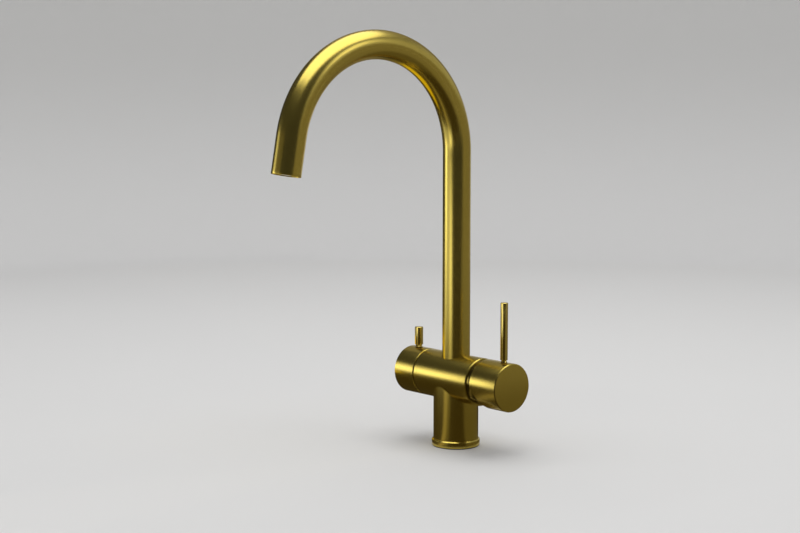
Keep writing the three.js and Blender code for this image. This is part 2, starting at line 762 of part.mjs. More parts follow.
// The slider carries the upper disc. The spindle's ball stands in its hole and pushes it sideways.
function discSlider() {
  return ring(spindleBallRadius + ballFit, movingDiscRadius, sliderStart, sliderStart + sliderThickness);
}

// The rotor turns with the lever and holds the pin that the spindle tilts on
function cartridgeRotor() {
  const slotWidth = spindleHubWidth + 2 * fit;
  const end = cartridgeNeckEnd - rotorSetback;
  // Where the tilted spindle's side leaves the rotor's end, on either side of the axis
  const spindleReach = spindleHubDepth / 2 / Math.cos(tiltLimit)
    + (end - pivotDistance) * Math.tan(tiltLimit);
  const slotDepth = 2 * (spindleReach + fit);
  const reach = rotorRadius + overcut;
  const pinHole = alongY(drill(pinRadius + pinFit / 2, -reach, reach, pinFacets));
  return machine(rod(rotorRadius - seat, rotorStart, end), {
    cuts: [
      block(slotDepth, slotWidth, rotorStart - overcut, end + overcut),
      pinHole.translate(0, 0, pivotDistance),
    ],
  });
}

// A lever of the first kind: the square end carries the knob, the hub tilts on the pin, and the ball at
// the inner end moves the disc slider.
function cartridgeSpindle() {
  const ballCentre = pivotDistance - spindleArmLength;
  const hubStart = pivotDistance - spindleHubHalfLength;
  const hubEnd = pivotDistance + spindleHubHalfLength;
  const pinHole = alongY(drill(pinRadius + pinFit, -spindleHubWidth, spindleHubWidth, pinFacets));
  const ball = new THREE.SphereGeometry(spindleBallRadius, pinFacets, smallFacets)
    .translate(0, 0, ballCentre);
  return machine(block(spindleHubDepth, spindleHubWidth, hubStart, hubEnd), {
    joined: [
      block(spindleSquare, spindleSquare, hubEnd - 1, spindleEnd),
      rod(spindleArmRadius, ballCentre, hubStart + 1, smallFacets),
      ball,
    ],
    cuts: [pinHole.translate(0, 0, pivotDistance)],
  });
}

// The nut's thread runs into the barrel and its hexagon stands under the shroud
function cartridgeNut() {
  const start = cartridgeShoulder + seat;
  const hexStart = 3 * seat;
  return machine(rod(nutThreadRadius, start, hexStart + nutFlange), {
    joined: [hexagon(nutFlats, hexStart, nutEnd)],
    cuts: [drill(cartridgeNeckRadius + fit, start - overcut, nutEnd + overcut)],
  });
}

// The shroud is a zone of a sphere round the tilting pivot, so the knob's rim clears it at every tilt
function cartridgeShroud() {
  const start = seat;
  const arc = (radius, from, to) => {
    const points = [];
    for (let step = 0; step <= shroudSteps; step += 1) {
      const along = from + ((to - from) * step) / shroudSteps;
      points.push([Math.sqrt(radius ** 2 - (along - pivotDistance) ** 2), along]);
    }
    return points;
  };
  const inside = arc(shroudRadius - shroudWall, shroudEnd - shroudWall, start);
  return turned([
    inside.at(-1), ...arc(shroudRadius, start, shroudEnd),
    [shroudOpeningRadius, shroudEnd], [shroudOpeningRadius, shroudEnd - shroudWall], ...inside,
  ], outsideFacets);
}

place(mixerSide, 'cartridge_seal', portedPlate(
  cartridgeRadius - cartridgeSealSetback, cartridgeSealStart, cartridgeSealThickness, portRadius + fit),
rubber);
place(mixerSide, 'cartridge_base', portedPlate(
  cartridgeRadius, cartridgeBaseStart, cartridgeBaseThickness, portRadius), whitePlastic);
place(mixerSide, 'mixer_fixed_disc', portedPlate(
  discChamberRadius - fit, fixedDiscStart, fixedDiscThickness, portRadius), ceramic);
place(mixerSide, 'cartridge_shell', cartridgeShell(), darkPlastic);
place(mixerSide, 'cartridge_nut', cartridgeNut(), rawBrass);
place(mixerSide, 'cartridge_shroud', cartridgeShroud(), brushedBrass);
place(mixerSide, 'mixer_moving_disc', movingDisc(), ceramic);
place(mixerSide, 'disc_slider', discSlider(), whitePlastic);
place(mixerSide, 'cartridge_rotor', cartridgeRotor(), whitePlastic);
const pinHalfLength = rotorRadius - pinSetback;
place(mixerSide, 'spindle_pin',
  alongY(rod(pinRadius, -pinHalfLength, pinHalfLength, pinFacets)).translate(0, 0, pivotDistance), steel);
place(mixerSide, 'cartridge_spindle', cartridgeSpindle(), steel);

// ---------------------------------------------------------------- knobs, levers and their screws

// A cup turned from bar, open towards the barrel, with a solid outer end
function knobBlank({ start, end, cupEnd, wall }) {
  const rim = knobRadius - wall;
  return turned([
    [0, cupEnd], [rim, cupEnd], [rim, start],
    [knobRadius - knobRimChamfer, start], [knobRadius, start + knobRimChamfer],
    [knobRadius, end - knobEndChamfer], [knobRadius - knobEndChamfer, end], [0, end],
  ], outsideFacets);
}

// The lever's stud enters the top of the knob and the grub screw enters from below, out of sight
function drillKnob(blank, leverDistance, otherCuts) {
  const studEnd = knobRadius - leverStudDepth - drillPoint;
  const studHole = alongX(drill(leverStudRadius + screwFit, studEnd, knobRadius + overcut, smallFacets));
  const screwHole = againstX(drill(grubScrewRadius + screwFit, 0, knobRadius + overcut, smallFacets));
  return machine(blank, {
    cuts: [
      ...otherCuts, studHole.translate(0, 0, leverDistance), screwHole.translate(0, 0, leverDistance),
    ],
  });
}

// The stud, a foot that flares out of the knob, and a plain rod with a broken edge at its tip
function lever(radius, top) {
  const studEnd = knobRadius - leverStudDepth;
  return alongX(turned([
    [0, studEnd], [leverStudRadius, studEnd], [leverStudRadius, knobRadius],
    [radius, knobRadius + leverFootChamfer], [radius, top - leverTipChamfer],
    [radius - leverTipChamfer, top], [0, top],
  ], leverFacets));
}

function grubScrew(socketReach) {
  const tip = socketReach + seat;
  const head = tip + grubScrewLength;
  const shape = rod(grubScrewRadius, tip, head, smallFacets);
  return againstX(machine(shape, { cuts: [keySocket(grubScrewKey, head)] }));
}

function screwPlug() {
  const face = knobRadius - plugSetback;
  return againstX(turned([
    [0, face - plugThickness], [grubScrewRadius, face - plugThickness],
    [grubScrewRadius, face - plugChamfer], [grubScrewRadius - plugChamfer, face], [0, face],
  ], smallFacets));
}

function placeHandle(side, prefix, { knob, socketReach, distance, leverRadius, leverTop }) {
  place(side, `${prefix}_knob`, knob, brushedBrass);
  place(side, `${prefix}_lever`, lever(leverRadius, leverTop), polishedBrass).position.z = distance;
  place(side, `${prefix}_grub_screw`, grubScrew(socketReach), steel).position.z = distance;
  place(side, `${prefix}_screw_plug`, screwPlug(), brushedBrass).position.z = distance;
}

// Below its axis the mixer knob's rim slants away from the barrel, because that side swings in when the
// lever is pulled out. The tool is a wedge whose edge lies across the axis in the plane of the rim.
function rimSlant() {
  const reach = knobRadius + overcut;
  const wedge = new THREE.Shape();
  wedge.moveTo(0, mixerKnobGap - overcut);
  wedge.lineTo(0, mixerKnobGap);
  wedge.lineTo(-reach, mixerKnobGap + reach * Math.tan(mixerRimSlant));
  wedge.lineTo(-reach, mixerKnobGap - overcut);
  return new THREE.ExtrudeGeometry(wedge, { depth: 2 * reach, bevelEnabled: false })
    .translate(0, 0, -reach)
    .rotateX(Math.PI / 2);
}

const squareSocket = spindleSquare + fit;
const mixerKnob = drillKnob(
  knobBlank({ start: mixerKnobGap, end: mixerKnobEnd, cupEnd: mixerCupEnd, wall: mixerKnobWall }),
  mixerLeverDistance,
  [
    rimSlant(),
    block(squareSocket, squareSocket, mixerCupEnd - overcut, mixerCupEnd + squareSocketDepth),
  ],
);
placeHandle(mixerSide, 'mixer', {
  knob: mixerKnob, socketReach: squareSocket / 2, distance: mixerLeverDistance,
  leverRadius: mixerLeverRadius, leverTop: mixerLeverTop,
});

// ---------------------------------------------------------------- filtered water valve

// Turned body with a skirt for the discs, a thread, a hexagon and a neck, bored for the stem
function valveBody() {
  const skirtBore = valveSkirtRadius - valveSkirtWall;
  const stemBore = valveStemRadius + fit;
  const roof = valveSkirtEnd - valveSkirtRoof;
  const hexStart = seat;
  const hexEnd = hexStart + valveHexHeight;
  const window = block(2 * valveSkirtRadius + overcut, valveWindowWidth, valveWindowStart, roof);
  return machine(turned([
    [skirtBore, valveStart], [valveSkirtRadius, valveStart], [valveSkirtRadius, valveSkirtEnd],
    [valveThreadRadius, valveSkirtEnd], [valveThreadRadius, hexStart + 1],
    [valveNeckRadius, hexStart + 1], [valveNeckRadius, valveNeckEnd], [stemBore, valveNeckEnd],
    [stemBore, roof], [skirtBore, roof], [skirtBore, valveStart],
  ]), {
    joined: [machine(hexagon(valveHexFlats, hexStart, hexEnd), {
      cuts: [drill(stemBore + 1, hexStart - overcut, hexEnd + overcut)],
    })],
    cuts: [window],
  });
}

// Two round ports on opposite sides, uncovered by a quarter turn of the upper disc
function valveDisc(from, turn) {
  const ports = [1, -1].map((sideOfAxis) =>
    drill(valvePortRadius, from - overcut, from + valveDiscThickness + overcut, smallFacets)
      .translate(0, valvePortPitch * sideOfAxis, 0)
      .rotateZ(turn));
  return machine(rod(valveDiscRadius, from, from + valveDiscThickness), { cuts: ports });
}

// The stem ends in a spline that the knob is pushed on to
function valveStem() {
  const root = valveStemRadius - splineDepth;
  const outline = [];
  for (let corner = 0; corner < 2 * splineTeeth; corner += 1) {
    const radius = corner % 2 === 0 ? valveStemRadius : root;
    const angle = (corner * Math.PI) / splineTeeth;
    outline.push(new THREE.Vector2(radius * Math.cos(angle), radius * Math.sin(angle)));
  }
  const spline = new THREE.ExtrudeGeometry(new THREE.Shape(outline), {
    depth: valveStemEnd - splineStart, bevelEnabled: false,
  }).translate(0, 0, splineStart);
  const footRadius = valveDiscRadius - seat;
  const footEnd = valveFootStart + valveFootThickness;
  const stem = turned([
    [0, valveFootStart], [footRadius, valveFootStart], [footRadius, footEnd],
    [valveStemRadius, footEnd], [valveStemRadius, splineStart - splineRelief],
    [root, splineStart - splineRelief], [root, splineStart + splineRelief],
    [0, splineStart + splineRelief],
  ]);
  return machine(stem, { joined: [spline] });
}

place(filterSide, 'filter_valve_seal', ring(
  valveSkirtRadius - fit - valveSealWidth, valveSkirtRadius - fit,
  valveSealStart, valveSealStart + valveSealThickness), rubber);
place(filterSide, 'filter_valve_body', valveBody(), rawBrass);
place(filterSide, 'filter_fixed_disc', valveDisc(valveDiscStart, 0), ceramic);
place(filterSide, 'filter_moving_disc', valveDisc(valveMovingDiscStart, Math.PI / 2), ceramic);
place(filterSide, 'filter_spindle', valveStem(), rawBrass);

const filterKnob = drillKnob(
  knobBlank({ start: filterKnobGap, end: filterKnobEnd, cupEnd: filterCupEnd, wall: filterKnobWall }),
  filterLeverDistance,
  [drill(valveStemRadius + fit, filterCupEnd - overcut, filterCupEnd + splineSocketDepth)],
);
placeHandle(filterSide, 'filter', {
  knob: filterKnob, socketReach: valveStemRadius, distance: filterLeverDistance,
  leverRadius: filterLeverRadius, leverTop: filterLeverTop,
});

export default tap;
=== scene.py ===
# %% [markdown]
# # A three way filtered water tap in brushed brass
#
# A real tap like this one is turned, cast and bent out of brass: a column and a barrel that meet in a
# crisp saddle, a swan-neck tube, two knobs with slim levers, and the clamping parts that sit under the
# deck. This lesson finishes each of those pieces around a measured frame. The frame gives every size
# and place, so nothing here is fitted by eye.

# %% Load the frame
import json
import math

import bmesh
import bpy
from mathutils import Matrix, Vector


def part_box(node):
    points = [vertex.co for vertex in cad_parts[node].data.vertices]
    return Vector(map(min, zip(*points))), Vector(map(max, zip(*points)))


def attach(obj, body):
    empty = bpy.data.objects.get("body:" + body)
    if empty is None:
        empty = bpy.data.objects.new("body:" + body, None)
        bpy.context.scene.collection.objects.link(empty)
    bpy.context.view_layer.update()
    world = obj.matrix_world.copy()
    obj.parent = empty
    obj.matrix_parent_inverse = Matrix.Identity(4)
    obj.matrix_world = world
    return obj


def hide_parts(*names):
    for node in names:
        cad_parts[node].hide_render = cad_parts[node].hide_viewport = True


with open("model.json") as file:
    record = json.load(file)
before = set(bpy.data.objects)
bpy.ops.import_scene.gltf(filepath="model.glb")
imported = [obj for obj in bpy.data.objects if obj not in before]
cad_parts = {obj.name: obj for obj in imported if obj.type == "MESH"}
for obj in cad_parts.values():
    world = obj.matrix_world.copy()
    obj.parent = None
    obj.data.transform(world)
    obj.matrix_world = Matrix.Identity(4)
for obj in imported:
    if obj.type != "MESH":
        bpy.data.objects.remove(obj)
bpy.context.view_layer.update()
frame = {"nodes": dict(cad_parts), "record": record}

record = frame["record"]
body_of = {node: body for body, nodes in record["behaviour"]["bodies"].items() for node in nodes}
slot_of = {row["node"]: row["material_slot"] for row in record["subparts"]}

# %% [markdown]
# ## Sizes
#
# Most sizes can be read off the boxes of the frame's pieces. What a box can't tell, such as a wall or a
# chamfer, is written here once in millimetres.

# %% Read the sizes
mm = 0.001

body_low, body_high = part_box("body_casting")
barrel_radius = body_high.y
barrel_end = body_high.x
barrel_height = body_high.z - barrel_radius
column_foot = body_low.z
column_radius = 22.7 * mm
barrel_chamfer = 0.8 * mm
soft_edge = 0.12 * mm  # how far a machined edge is broken by the brushing

spout_low, spout_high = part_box("spout_tube")
tube_radius = spout_high.y
tube_foot = spout_low.z
tube_wall = 1.2 * mm
arch_start = 296.9 * mm
arch_radius = 103.2 * mm
arch_angle = math.radians(169.7)
outlet_straight = 35.8 * mm

print("barrel", round(2 * barrel_radius / mm, 1), "mm across,",
      "its axis", round(barrel_height / mm, 1), "mm up")

# %% [markdown]
# ## The camera
#
# The camera stands where the reference view was taken from: to the right of the spout, a little above
# the tap. It was solved from the outlines of the round parts, so it needs no shift.

# %% Place the camera
camera_place = Vector((1134.3, -1052.6, 357.1)) * mm
camera_azimuth = math.radians(49.235)
camera_pitch = math.radians(6.469)
camera_lens = 69.9

camera_data = bpy.data.cameras.new("camera")
camera_data.sensor_width = 36
camera_data.lens = camera_lens
camera_data.clip_start = 0.05
camera = bpy.data.objects.new("camera", camera_data)
camera.location = camera_place
camera.rotation_euler = (math.pi / 2 - camera_pitch, 0, camera_azimuth)
bpy.context.scene.collection.objects.link(camera)
bpy.context.scene.camera = camera
bpy.context.scene.view_settings.view_transform = "Standard"
print("camera", [round(value, 3) for value in camera.location])

# %% [markdown]
# ## Helpers for meshes
#
# Almost every piece of a tap comes off a lathe. An outline is a list of corners, each with the radius
# of its rounding, and a revolve turns the outline about Z. Rounding every corner matters more than
# anything else in metal: a real edge always catches a thin line of light.

# %% Draw an outline with rounded corners
def rounded(corners, steps=5):
    """Points of a closed outline through (radius, height, rounding) corners."""
    outline = []
    for index, (radius, height, rounding) in enumerate(corners):
        here = Vector((radius, height))
        if rounding == 0:
            outline.append(here)
            continue
        before = (Vector(corners[index - 1][:2]) - here).normalized()
        after = (Vector(corners[(index + 1) % len(corners)][:2]) - here).normalized()
        half = before.angle(after) / 2
        centre = here + (before + after).normalized() * rounding / math.sin(half)
        start = here + before * rounding / math.tan(half) - centre
        sweep = math.pi - 2 * half
        if start.x * after.y - start.y * after.x < 0:
            sweep = -sweep
        for step in range(steps + 1):
            outline.append(centre + Matrix.Rotation(sweep * step / steps, 2) @ start)
    return outline


# %% Turn an outline into a solid
def solid_mesh(name, shape):
    """A bmesh, with its faces turned outwards, as a mesh."""
    bmesh.ops.recalc_face_normals(shape, faces=shape.faces)
    mesh = bpy.data.meshes.new(name)
    shape.to_mesh(mesh)
    shape.free()
    return mesh


def revolve(name, outline, sides=96):
    """The outline turned about Z. It starts and ends on the axis, or else closes on itself."""
    shape = bmesh.new()
    rings = []
    for radius, height in outline:
        if radius < 1e-7:
            rings.append([shape.verts.new((0, 0, height))])
            continue
        angles = [2 * math.pi * side / sides for side in range(sides)]
        rings.append([shape.verts.new((radius * math.cos(angle), radius * math.sin(angle), height))
                      for angle in angles])
    if len(rings[0]) > 1:
        rings.append(rings[0])
    for lower, upper in zip(rings, rings[1:]):
        for side in range(sides):
            after = (side + 1) % sides
            corners = []
            for ring, place in ((lower, side), (lower, after), (upper, after), (upper, side)):
                vertex = ring[place % len(ring)]
                if vertex not in corners:
                    corners.append(vertex)
            if len(corners) > 2:
                shape.faces.new(corners)
    return solid_mesh(name, shape)


# %% Lay a piece along the barrel, or move it
along_right = Matrix.Translation((0, 0, barrel_height)) @ Matrix.Rotation(math.pi / 2, 4, "Y")
along_left = Matrix.Translation((0, 0, barrel_height)) @ Matrix.Rotation(-math.pi / 2, 4, "Y")


def placed(mesh, matrix):
    mesh.transform(matrix)
    mesh.update()
    return mesh


# %% [markdown]
# Joins and cuts use the Boolean modifier. Its result is read from the evaluated object, so the piece
# ends as a plain mesh with no modifier left on it.

# %% Join and cut solids
def as_object(mesh):
    thing = bpy.data.objects.new(mesh.name, mesh)
    bpy.context.scene.collection.objects.link(thing)
    return thing


def evaluated(thing):
    """The object's mesh with its modifiers applied. The object itself is removed."""
    bpy.context.view_layer.update()
    graph = bpy.context.evaluated_depsgraph_get()
    mesh = bpy.data.meshes.new_from_object(thing.evaluated_get(graph))
    bpy.data.objects.remove(thing)
    return mesh


def combined(mesh, others, operation="DIFFERENCE"):
    work = as_object(mesh)
    tools = [as_object(other) for other in others]
    for tool in tools:
        modifier = work.modifiers.new(operation.lower(), "BOOLEAN")
        modifier.operation = operation
        modifier.solver = "EXACT"
        modifier.object = tool
    result = evaluated(work)
    for tool in tools:
        bpy.data.objects.remove(tool)
    return result


def rod(name, radius, start, end, sides=48):
    return revolve(name, [(0, start), (radius, start), (radius, end), (0, end)], sides)


# %% [markdown]
# A finished mesh takes its node's place: it stands for the node and rides on the same body. Edges
# sharper than the given angle stay crisp, and everything else is smooth.

# %% Put a finished piece in its node's place
def finished(node, mesh, *materials, crisp=24):
    mesh.name = node
    mesh.materials.clear()
    for material in materials:
        mesh.materials.append(material)
    mesh.shade_smooth()
    mesh.set_sharp_from_angle(angle=math.radians(crisp))
    piece = bpy.data.objects.new("fine_" + node, mesh)
    bpy.context.scene.collection.objects.link(piece)
    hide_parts(node)
    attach(piece, body_of[node])
    print(piece.name, len(mesh.polygons), "faces")


def finish_turned(node, corners, material, sides=96, matrix=Matrix()):
    """A turned piece with rounded corners, in its node's place."""
    finished(node, placed(revolve(node, rounded(corners), sides), matrix), material)


# %% [markdown]
# ## Helpers for node trees
#
# One helper adds a node and fills its sockets, and one writes a sum. They serve materials and Geometry
# Nodes alike. The others join and split vectors, open a group, and end a tree in the same way each time.

# %% Write node trees
def add(tree, kind, inputs=None, **settings):
    """A new node. Inputs are numbers, colours or sockets to link, by the socket's name or place."""
    node = tree.nodes.new(kind)
    for setting, value in settings.items():
        setattr(node, setting, value)
    for socket, value in (inputs or {}).items():
        if isinstance(value, bpy.types.NodeSocket):
            tree.links.new(value, node.inputs[socket])
        else:
            node.inputs[socket].default_value = value
    return node


def calc(tree, operation, first, second=0.0, third=0.0):
    node = add(tree, "ShaderNodeMath", {0: first, 1: second, 2: third}, operation=operation)
    return node.outputs[0]


def vector(tree, **parts):
    return add(tree, "ShaderNodeCombineXYZ", parts).outputs[0]


def split(tree, place):
    return add(tree, "ShaderNodeSeparateXYZ", {0: place}).outputs


def new_group(name, kind, inputs, outputs):
    """A node group with named sockets, and its input and output nodes."""
    group = bpy.data.node_groups.new(name, kind)
    for socket_name, socket_type, default in inputs:
        socket = group.interface.new_socket(socket_name, in_out="INPUT", socket_type=socket_type)
        if default is not None:
            socket.default_value = default
    for socket_name, socket_type in outputs:
        group.interface.new_socket(socket_name, in_out="OUTPUT", socket_type=socket_type)
    return group, group.nodes.new("NodeGroupInput"), group.nodes.new("NodeGroupOutput")


def end_tree(tree, geometry, given, result):
    """The end of a Geometry Nodes tree: real geometry, in the given material."""
    real = add(tree, "GeometryNodeRealizeInstances", {0: geometry})
    painted = add(tree, "GeometryNodeSetMaterial", {
        "Geometry": real.outputs[0], "Material": given.outputs["Material"]})
    tree.links.new(painted.outputs[0], result.inputs["Geometry"])


NUMBER, WHOLE, VECTOR = "NodeSocketFloat", "NodeSocketInt", "NodeSocketVector"
GEOMETRY, MATERIAL = "NodeSocketGeometry", "NodeSocketMaterial"

# %% [markdown]
# ## The brushed grain
#
# A piece is brushed while it turns in a lathe, so its scratches run round its axis. On a cylinder they
# differ from one height to the next, and on an end face from one radius to the next. The group reads
# coordinates whose Z is the piece's axis and adds height and radius into one number. Noise that changes
# fast along that number and slowly in the other directions draws long thin rings on both faces.

# %% Make the grain group
def make_turned_grain():
    group, given, result = new_group(
        "turned_grain", "ShaderNodeTree",
        [("Vector", VECTOR, None), ("Rings per Metre", NUMBER, 5200.0), ("Length", NUMBER, 55.0)],
        [("Grain", NUMBER), ("Bands", NUMBER)])
    x, y, z = split(group, given.outputs["Vector"])
    radius = calc(group, "SQRT", calc(group, "ADD", calc(group, "MULTIPLY", x, x),
                                      calc(group, "MULTIPLY", y, y)))
    ring_place = calc(group, "MULTIPLY_ADD", radius, 0.83, z)

    def stretched_noise(fineness, length, detail):
        place = vector(group, X=calc(group, "MULTIPLY", x, length), Y=calc(group, "MULTIPLY", y, length),
                       Z=calc(group, "MULTIPLY", ring_place, fineness))
        noise = add(group, "ShaderNodeTexNoise", {
            "Vector": place, "Scale": 1.0, "Detail": detail, "Roughness": 0.65})
        return noise.outputs["Fac"]

    rings = given.outputs["Rings per Metre"]
    grain = stretched_noise(rings, given.outputs["Length"], 3.0)
    bands = stretched_noise(calc(group, "MULTIPLY", rings, 0.16), given.outputs["Length"], 2.0)
    group.links.new(grain, result.inputs["Grain"])
    group.links.new(bands, result.inputs["Bands"])
    return group


turned_grain = make_turned_grain()
noise_low, noise_high = 0.3, 0.7  # nearly all of a noise's values lie between these
print("grain group with", len(turned_grain.nodes), "nodes")

# %% [markdown]
# ## Handling marks
#
# Even a new tap is never equally clean. A soft cloud a few centimetres across changes how dull the
# metal is, and a finer one leaves faint smears where fingers go. The group returns both as one mask.

# %% Make the handling group
def make_handling():
    group, given, result = new_group(
        "handling_marks", "ShaderNodeTree",
        [("Vector", VECTOR, None), ("Cloud Scale", NUMBER, 28.0), ("Smear Scale", NUMBER, 160.0)],
        [("Mask", NUMBER)])
    cloud = add(group, "ShaderNodeTexNoise", {
        "Vector": given.outputs["Vector"], "Scale": given.outputs["Cloud Scale"], "Detail": 2.0})
    smear = add(group, "ShaderNodeTexNoise", {
        "Vector": given.outputs["Vector"], "Scale": given.outputs["Smear Scale"], "Detail": 4.0,
        "Distortion": 0.8})
    mask = calc(group, "MULTIPLY_ADD", smear.outputs["Fac"], 0.35,
                calc(group, "MULTIPLY", cloud.outputs["Fac"], 0.65))
    group.links.new(mask, result.inputs["Mask"])
    return group


handling_marks = make_handling()
print("handling group with", len(handling_marks.nodes), "nodes")

# %% [markdown]
# ## Brass
#
# Brass is a full metal, so its colour is its reflection. Two close tones are mixed by the bands of the
# grain, the roughness follows grain and handling within a narrow range, and a faint bump keeps each
# highlight from being quite smooth. The brushing turns about the piece's own axis, so a Mapping node
# brings that axis to Z first. The spout's pattern follows the tube instead, by an attribute.

# %% Make the brass materials
def mapped(tree, axis, centre):
    """Object coordinates turned so that the piece's axis is Z, or the tube's own coordinates."""
    if axis == "TUBE":
        return add(tree, "ShaderNodeAttribute", attribute_name="tube_space").outputs["Vector"]
    turns = {"X": (0, -math.pi / 2, 0), "Z": (0, 0, 0)}
    coordinates = add(tree, "ShaderNodeTexCoord").outputs["Object"]
    centred = add(tree, "ShaderNodeVectorMath", {0: coordinates, 1: centre}, operation="SUBTRACT")
    return add(tree, "ShaderNodeMapping", {
        "Vector": centred.outputs[0], "Rotation": turns[axis]}, vector_type="POINT").outputs[0]


def new_material(name):
    material = bpy.data.materials.new(name)
    material.use_nodes = True
    tree = material.node_tree
    shader = tree.nodes["Principled BSDF"]
    return material, tree, shader


def surface(tree, shader, colours, mix, dullness, roughness, height, bump, depth):
    """A colour and a roughness between two values each, and a relief."""
    tone = add(tree, "ShaderNodeMix", {
        "Factor": mix, "A": colours[0], "B": colours[1]}, data_type="RGBA")
    gloss = add(tree, "ShaderNodeMapRange", {
        "Value": dullness, "From Min": noise_low, "From Max": noise_high,
        "To Min": roughness[0], "To Max": roughness[1]})
    relief = add(tree, "ShaderNodeBump", {"Height": height, "Strength": bump, "Distance": depth})
    tree.links.new(tone.outputs[2], shader.inputs["Base Color"])
    tree.links.new(gloss.outputs[0], shader.inputs["Roughness"])
    tree.links.new(relief.outputs[0], shader.inputs["Normal"])


def brass(name, tones, roughness, axis="Z", centre=(0, 0, 0), bump=0.02, rings=5200.0):
    """Brass with a grain that turns about an axis. The tones and the roughness are (low, high)."""
    material, tree, shader = new_material(name)
    place = mapped(tree, axis, centre)
    grain = add(tree, "ShaderNodeGroup", node_tree=turned_grain)
    grain.inputs["Rings per Metre"].default_value = rings
    tree.links.new(place, grain.inputs["Vector"])
    marks = add(tree, "ShaderNodeGroup", node_tree=handling_marks)
    tree.links.new(place, marks.inputs["Vector"])

    tone_place = add(tree, "ShaderNodeMapRange", {
        "Value": grain.outputs["Bands"], "From Min": noise_low, "From Max": noise_high})
    dullness = calc(tree, "MULTIPLY_ADD", grain.outputs["Grain"], 0.5,
                    calc(tree, "MULTIPLY", marks.outputs["Mask"], 0.5))
    surface(tree, shader, tones, tone_place.outputs[0], dullness, roughness,
            grain.outputs["Grain"], bump, 0.02 * mm)
    shader.inputs["Metallic"].default_value = 1.0
    return material


brushed_tones = ((0.61, 0.472, 0.098, 1), (0.625, 0.485, 0.106, 1))
polished_tones = ((0.64, 0.50, 0.13, 1), (0.67, 0.525, 0.145, 1))
raw_tones = ((0.52, 0.36, 0.13, 1), (0.60, 0.43, 0.18, 1))
# painted shade: the shroud's tones are far darker than the other brass, for the shadow in the mixer gap
painted_shade_tones = ((0.2, 0.15, 0.032, 1), (0.23, 0.172, 0.038, 1))
barrel_centre = (0, 0, barrel_height)
brushed = (0.235, 0.265)

barrel_brass = brass("barrel_brass", brushed_tones, brushed, "X", barrel_centre)
column_brass = brass("column_brass", brushed_tones, brushed)
spout_brass = brass("spout_brass", brushed_tones, brushed, "TUBE")
lever_brass = brass("lever_brass", polished_tones, (0.08, 0.15), bump=0.05)
painted_shade_brass = brass("painted_shade_brass", painted_shade_tones, (0.12, 0.2))
machined_brass = brass("machined_brass", raw_tones, (0.22, 0.4), bump=0.3, rings=2600.0)
print("brass:", barrel_brass.name, column_brass.name, spout_brass.name, lever_brass.name)

# %% [markdown]
# ## Steel, rubber, plastic and ceramic
#
# These sit inside or under the deck. Each still has its own surface: steel is turned like brass, rubber
# has a fine moulded skin, plastic a faint mould texture, and the ceramic discs are lapped almost flat.

# %% Make the other materials
def moulded(name, colours, roughness, scale, bump, coat=0.0):
    """A moulded or pressed surface: a fine grain varies its colour, its gloss and its relief."""
    material, tree, shader = new_material(name)
    coordinates = add(tree, "ShaderNodeTexCoord").outputs["Object"]
    grain = add(tree, "ShaderNodeTexNoise", {"Vector": coordinates, "Scale": scale, "Detail": 5.0})
    marks = add(tree, "ShaderNodeGroup", node_tree=handling_marks)
    tree.links.new(coordinates, marks.inputs["Vector"])
    surface(tree, shader, colours, marks.outputs["Mask"], grain.outputs["Fac"], roughness,
            grain.outputs["Fac"], bump, 0.05 * mm)
    shader.inputs["Coat Weight"].default_value = coat
    return material


steel = brass("turned_steel", ((0.42, 0.42, 0.41, 1), (0.55, 0.55, 0.54, 1)), (0.2, 0.38), bump=0.2,
              rings=3000.0)
rubber = moulded("black_rubber", ((0.012, 0.012, 0.012, 1), (0.03, 0.03, 0.032, 1)), (0.55, 0.8),
                 3000.0, 0.35)
dark_plastic = moulded("dark_plastic", ((0.035, 0.038, 0.042, 1), (0.055, 0.06, 0.066, 1)),
                       (0.4, 0.6), 2200.0, 0.2)
white_plastic = moulded("white_plastic", ((0.74, 0.73, 0.68, 1), (0.8, 0.79, 0.75, 1)), (0.35, 0.5),
                        2200.0, 0.12)
ceramic = moulded("lapped_ceramic", ((0.8, 0.79, 0.75, 1), (0.88, 0.87, 0.84, 1)), (0.12, 0.25),
                  4000.0, 0.05, coat=0.3)
slot_material = {
    "brushed_brass": column_brass, "polished_brass": lever_brass, "raw_brass": machined_brass,
    "steel": steel, "rubber": rubber, "dark_plastic": dark_plastic, "white_plastic": white_plastic,
    "ceramic": ceramic,
}
for node, piece in frame["nodes"].items():
    for place in piece.material_slots:
        place.material = slot_material[slot_of[node]]
print("materials on", len(frame["nodes"]), "nodes")

# %% [markdown]
# ## Column and barrel
#
# On the real tap the column and the barrel are one casting, turned afterwards on two axes, so the two
# cylinders meet in a sharp saddle. Two revolves joined by a Boolean give exactly that line. The same
# cutters that a machinist would use open the bores. Faces near the column get the grain that turns about
# Z, and the rest keep the barrel's.

# %% Build the casting
socket_radius = tube_radius + 0.2 * mm
socket_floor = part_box("spout_glide_ring")[0].z - 0.1 * mm
spigot_radius = 11.4 * mm
spigot_floor = 73.7 * mm
shank_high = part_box("threaded_shank")[1]
inlet_reach = 9.9 * mm
inlet_bore_radius = 5.06 * mm
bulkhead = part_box("hot_inlet")[1].z - inlet_reach
cavity_radius = 14 * mm
cartridge_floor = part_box("cartridge_seal")[0].x - 0.1 * mm
cartridge_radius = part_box("cartridge_shell")[1].y + 0.2 * mm
nut_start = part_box("cartridge_nut")[0].x - 0.1 * mm
nut_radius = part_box("cartridge_nut")[1].y + 0.15 * mm
valve_radius = 10.45 * mm
screw_low, screw_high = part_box("spout_retaining_screw")
screw_height = (screw_low.z + screw_high.z) / 2
screw_bore_radius = 2.05 * mm
past = 2 * mm  # how far a cutter reaches beyond the metal

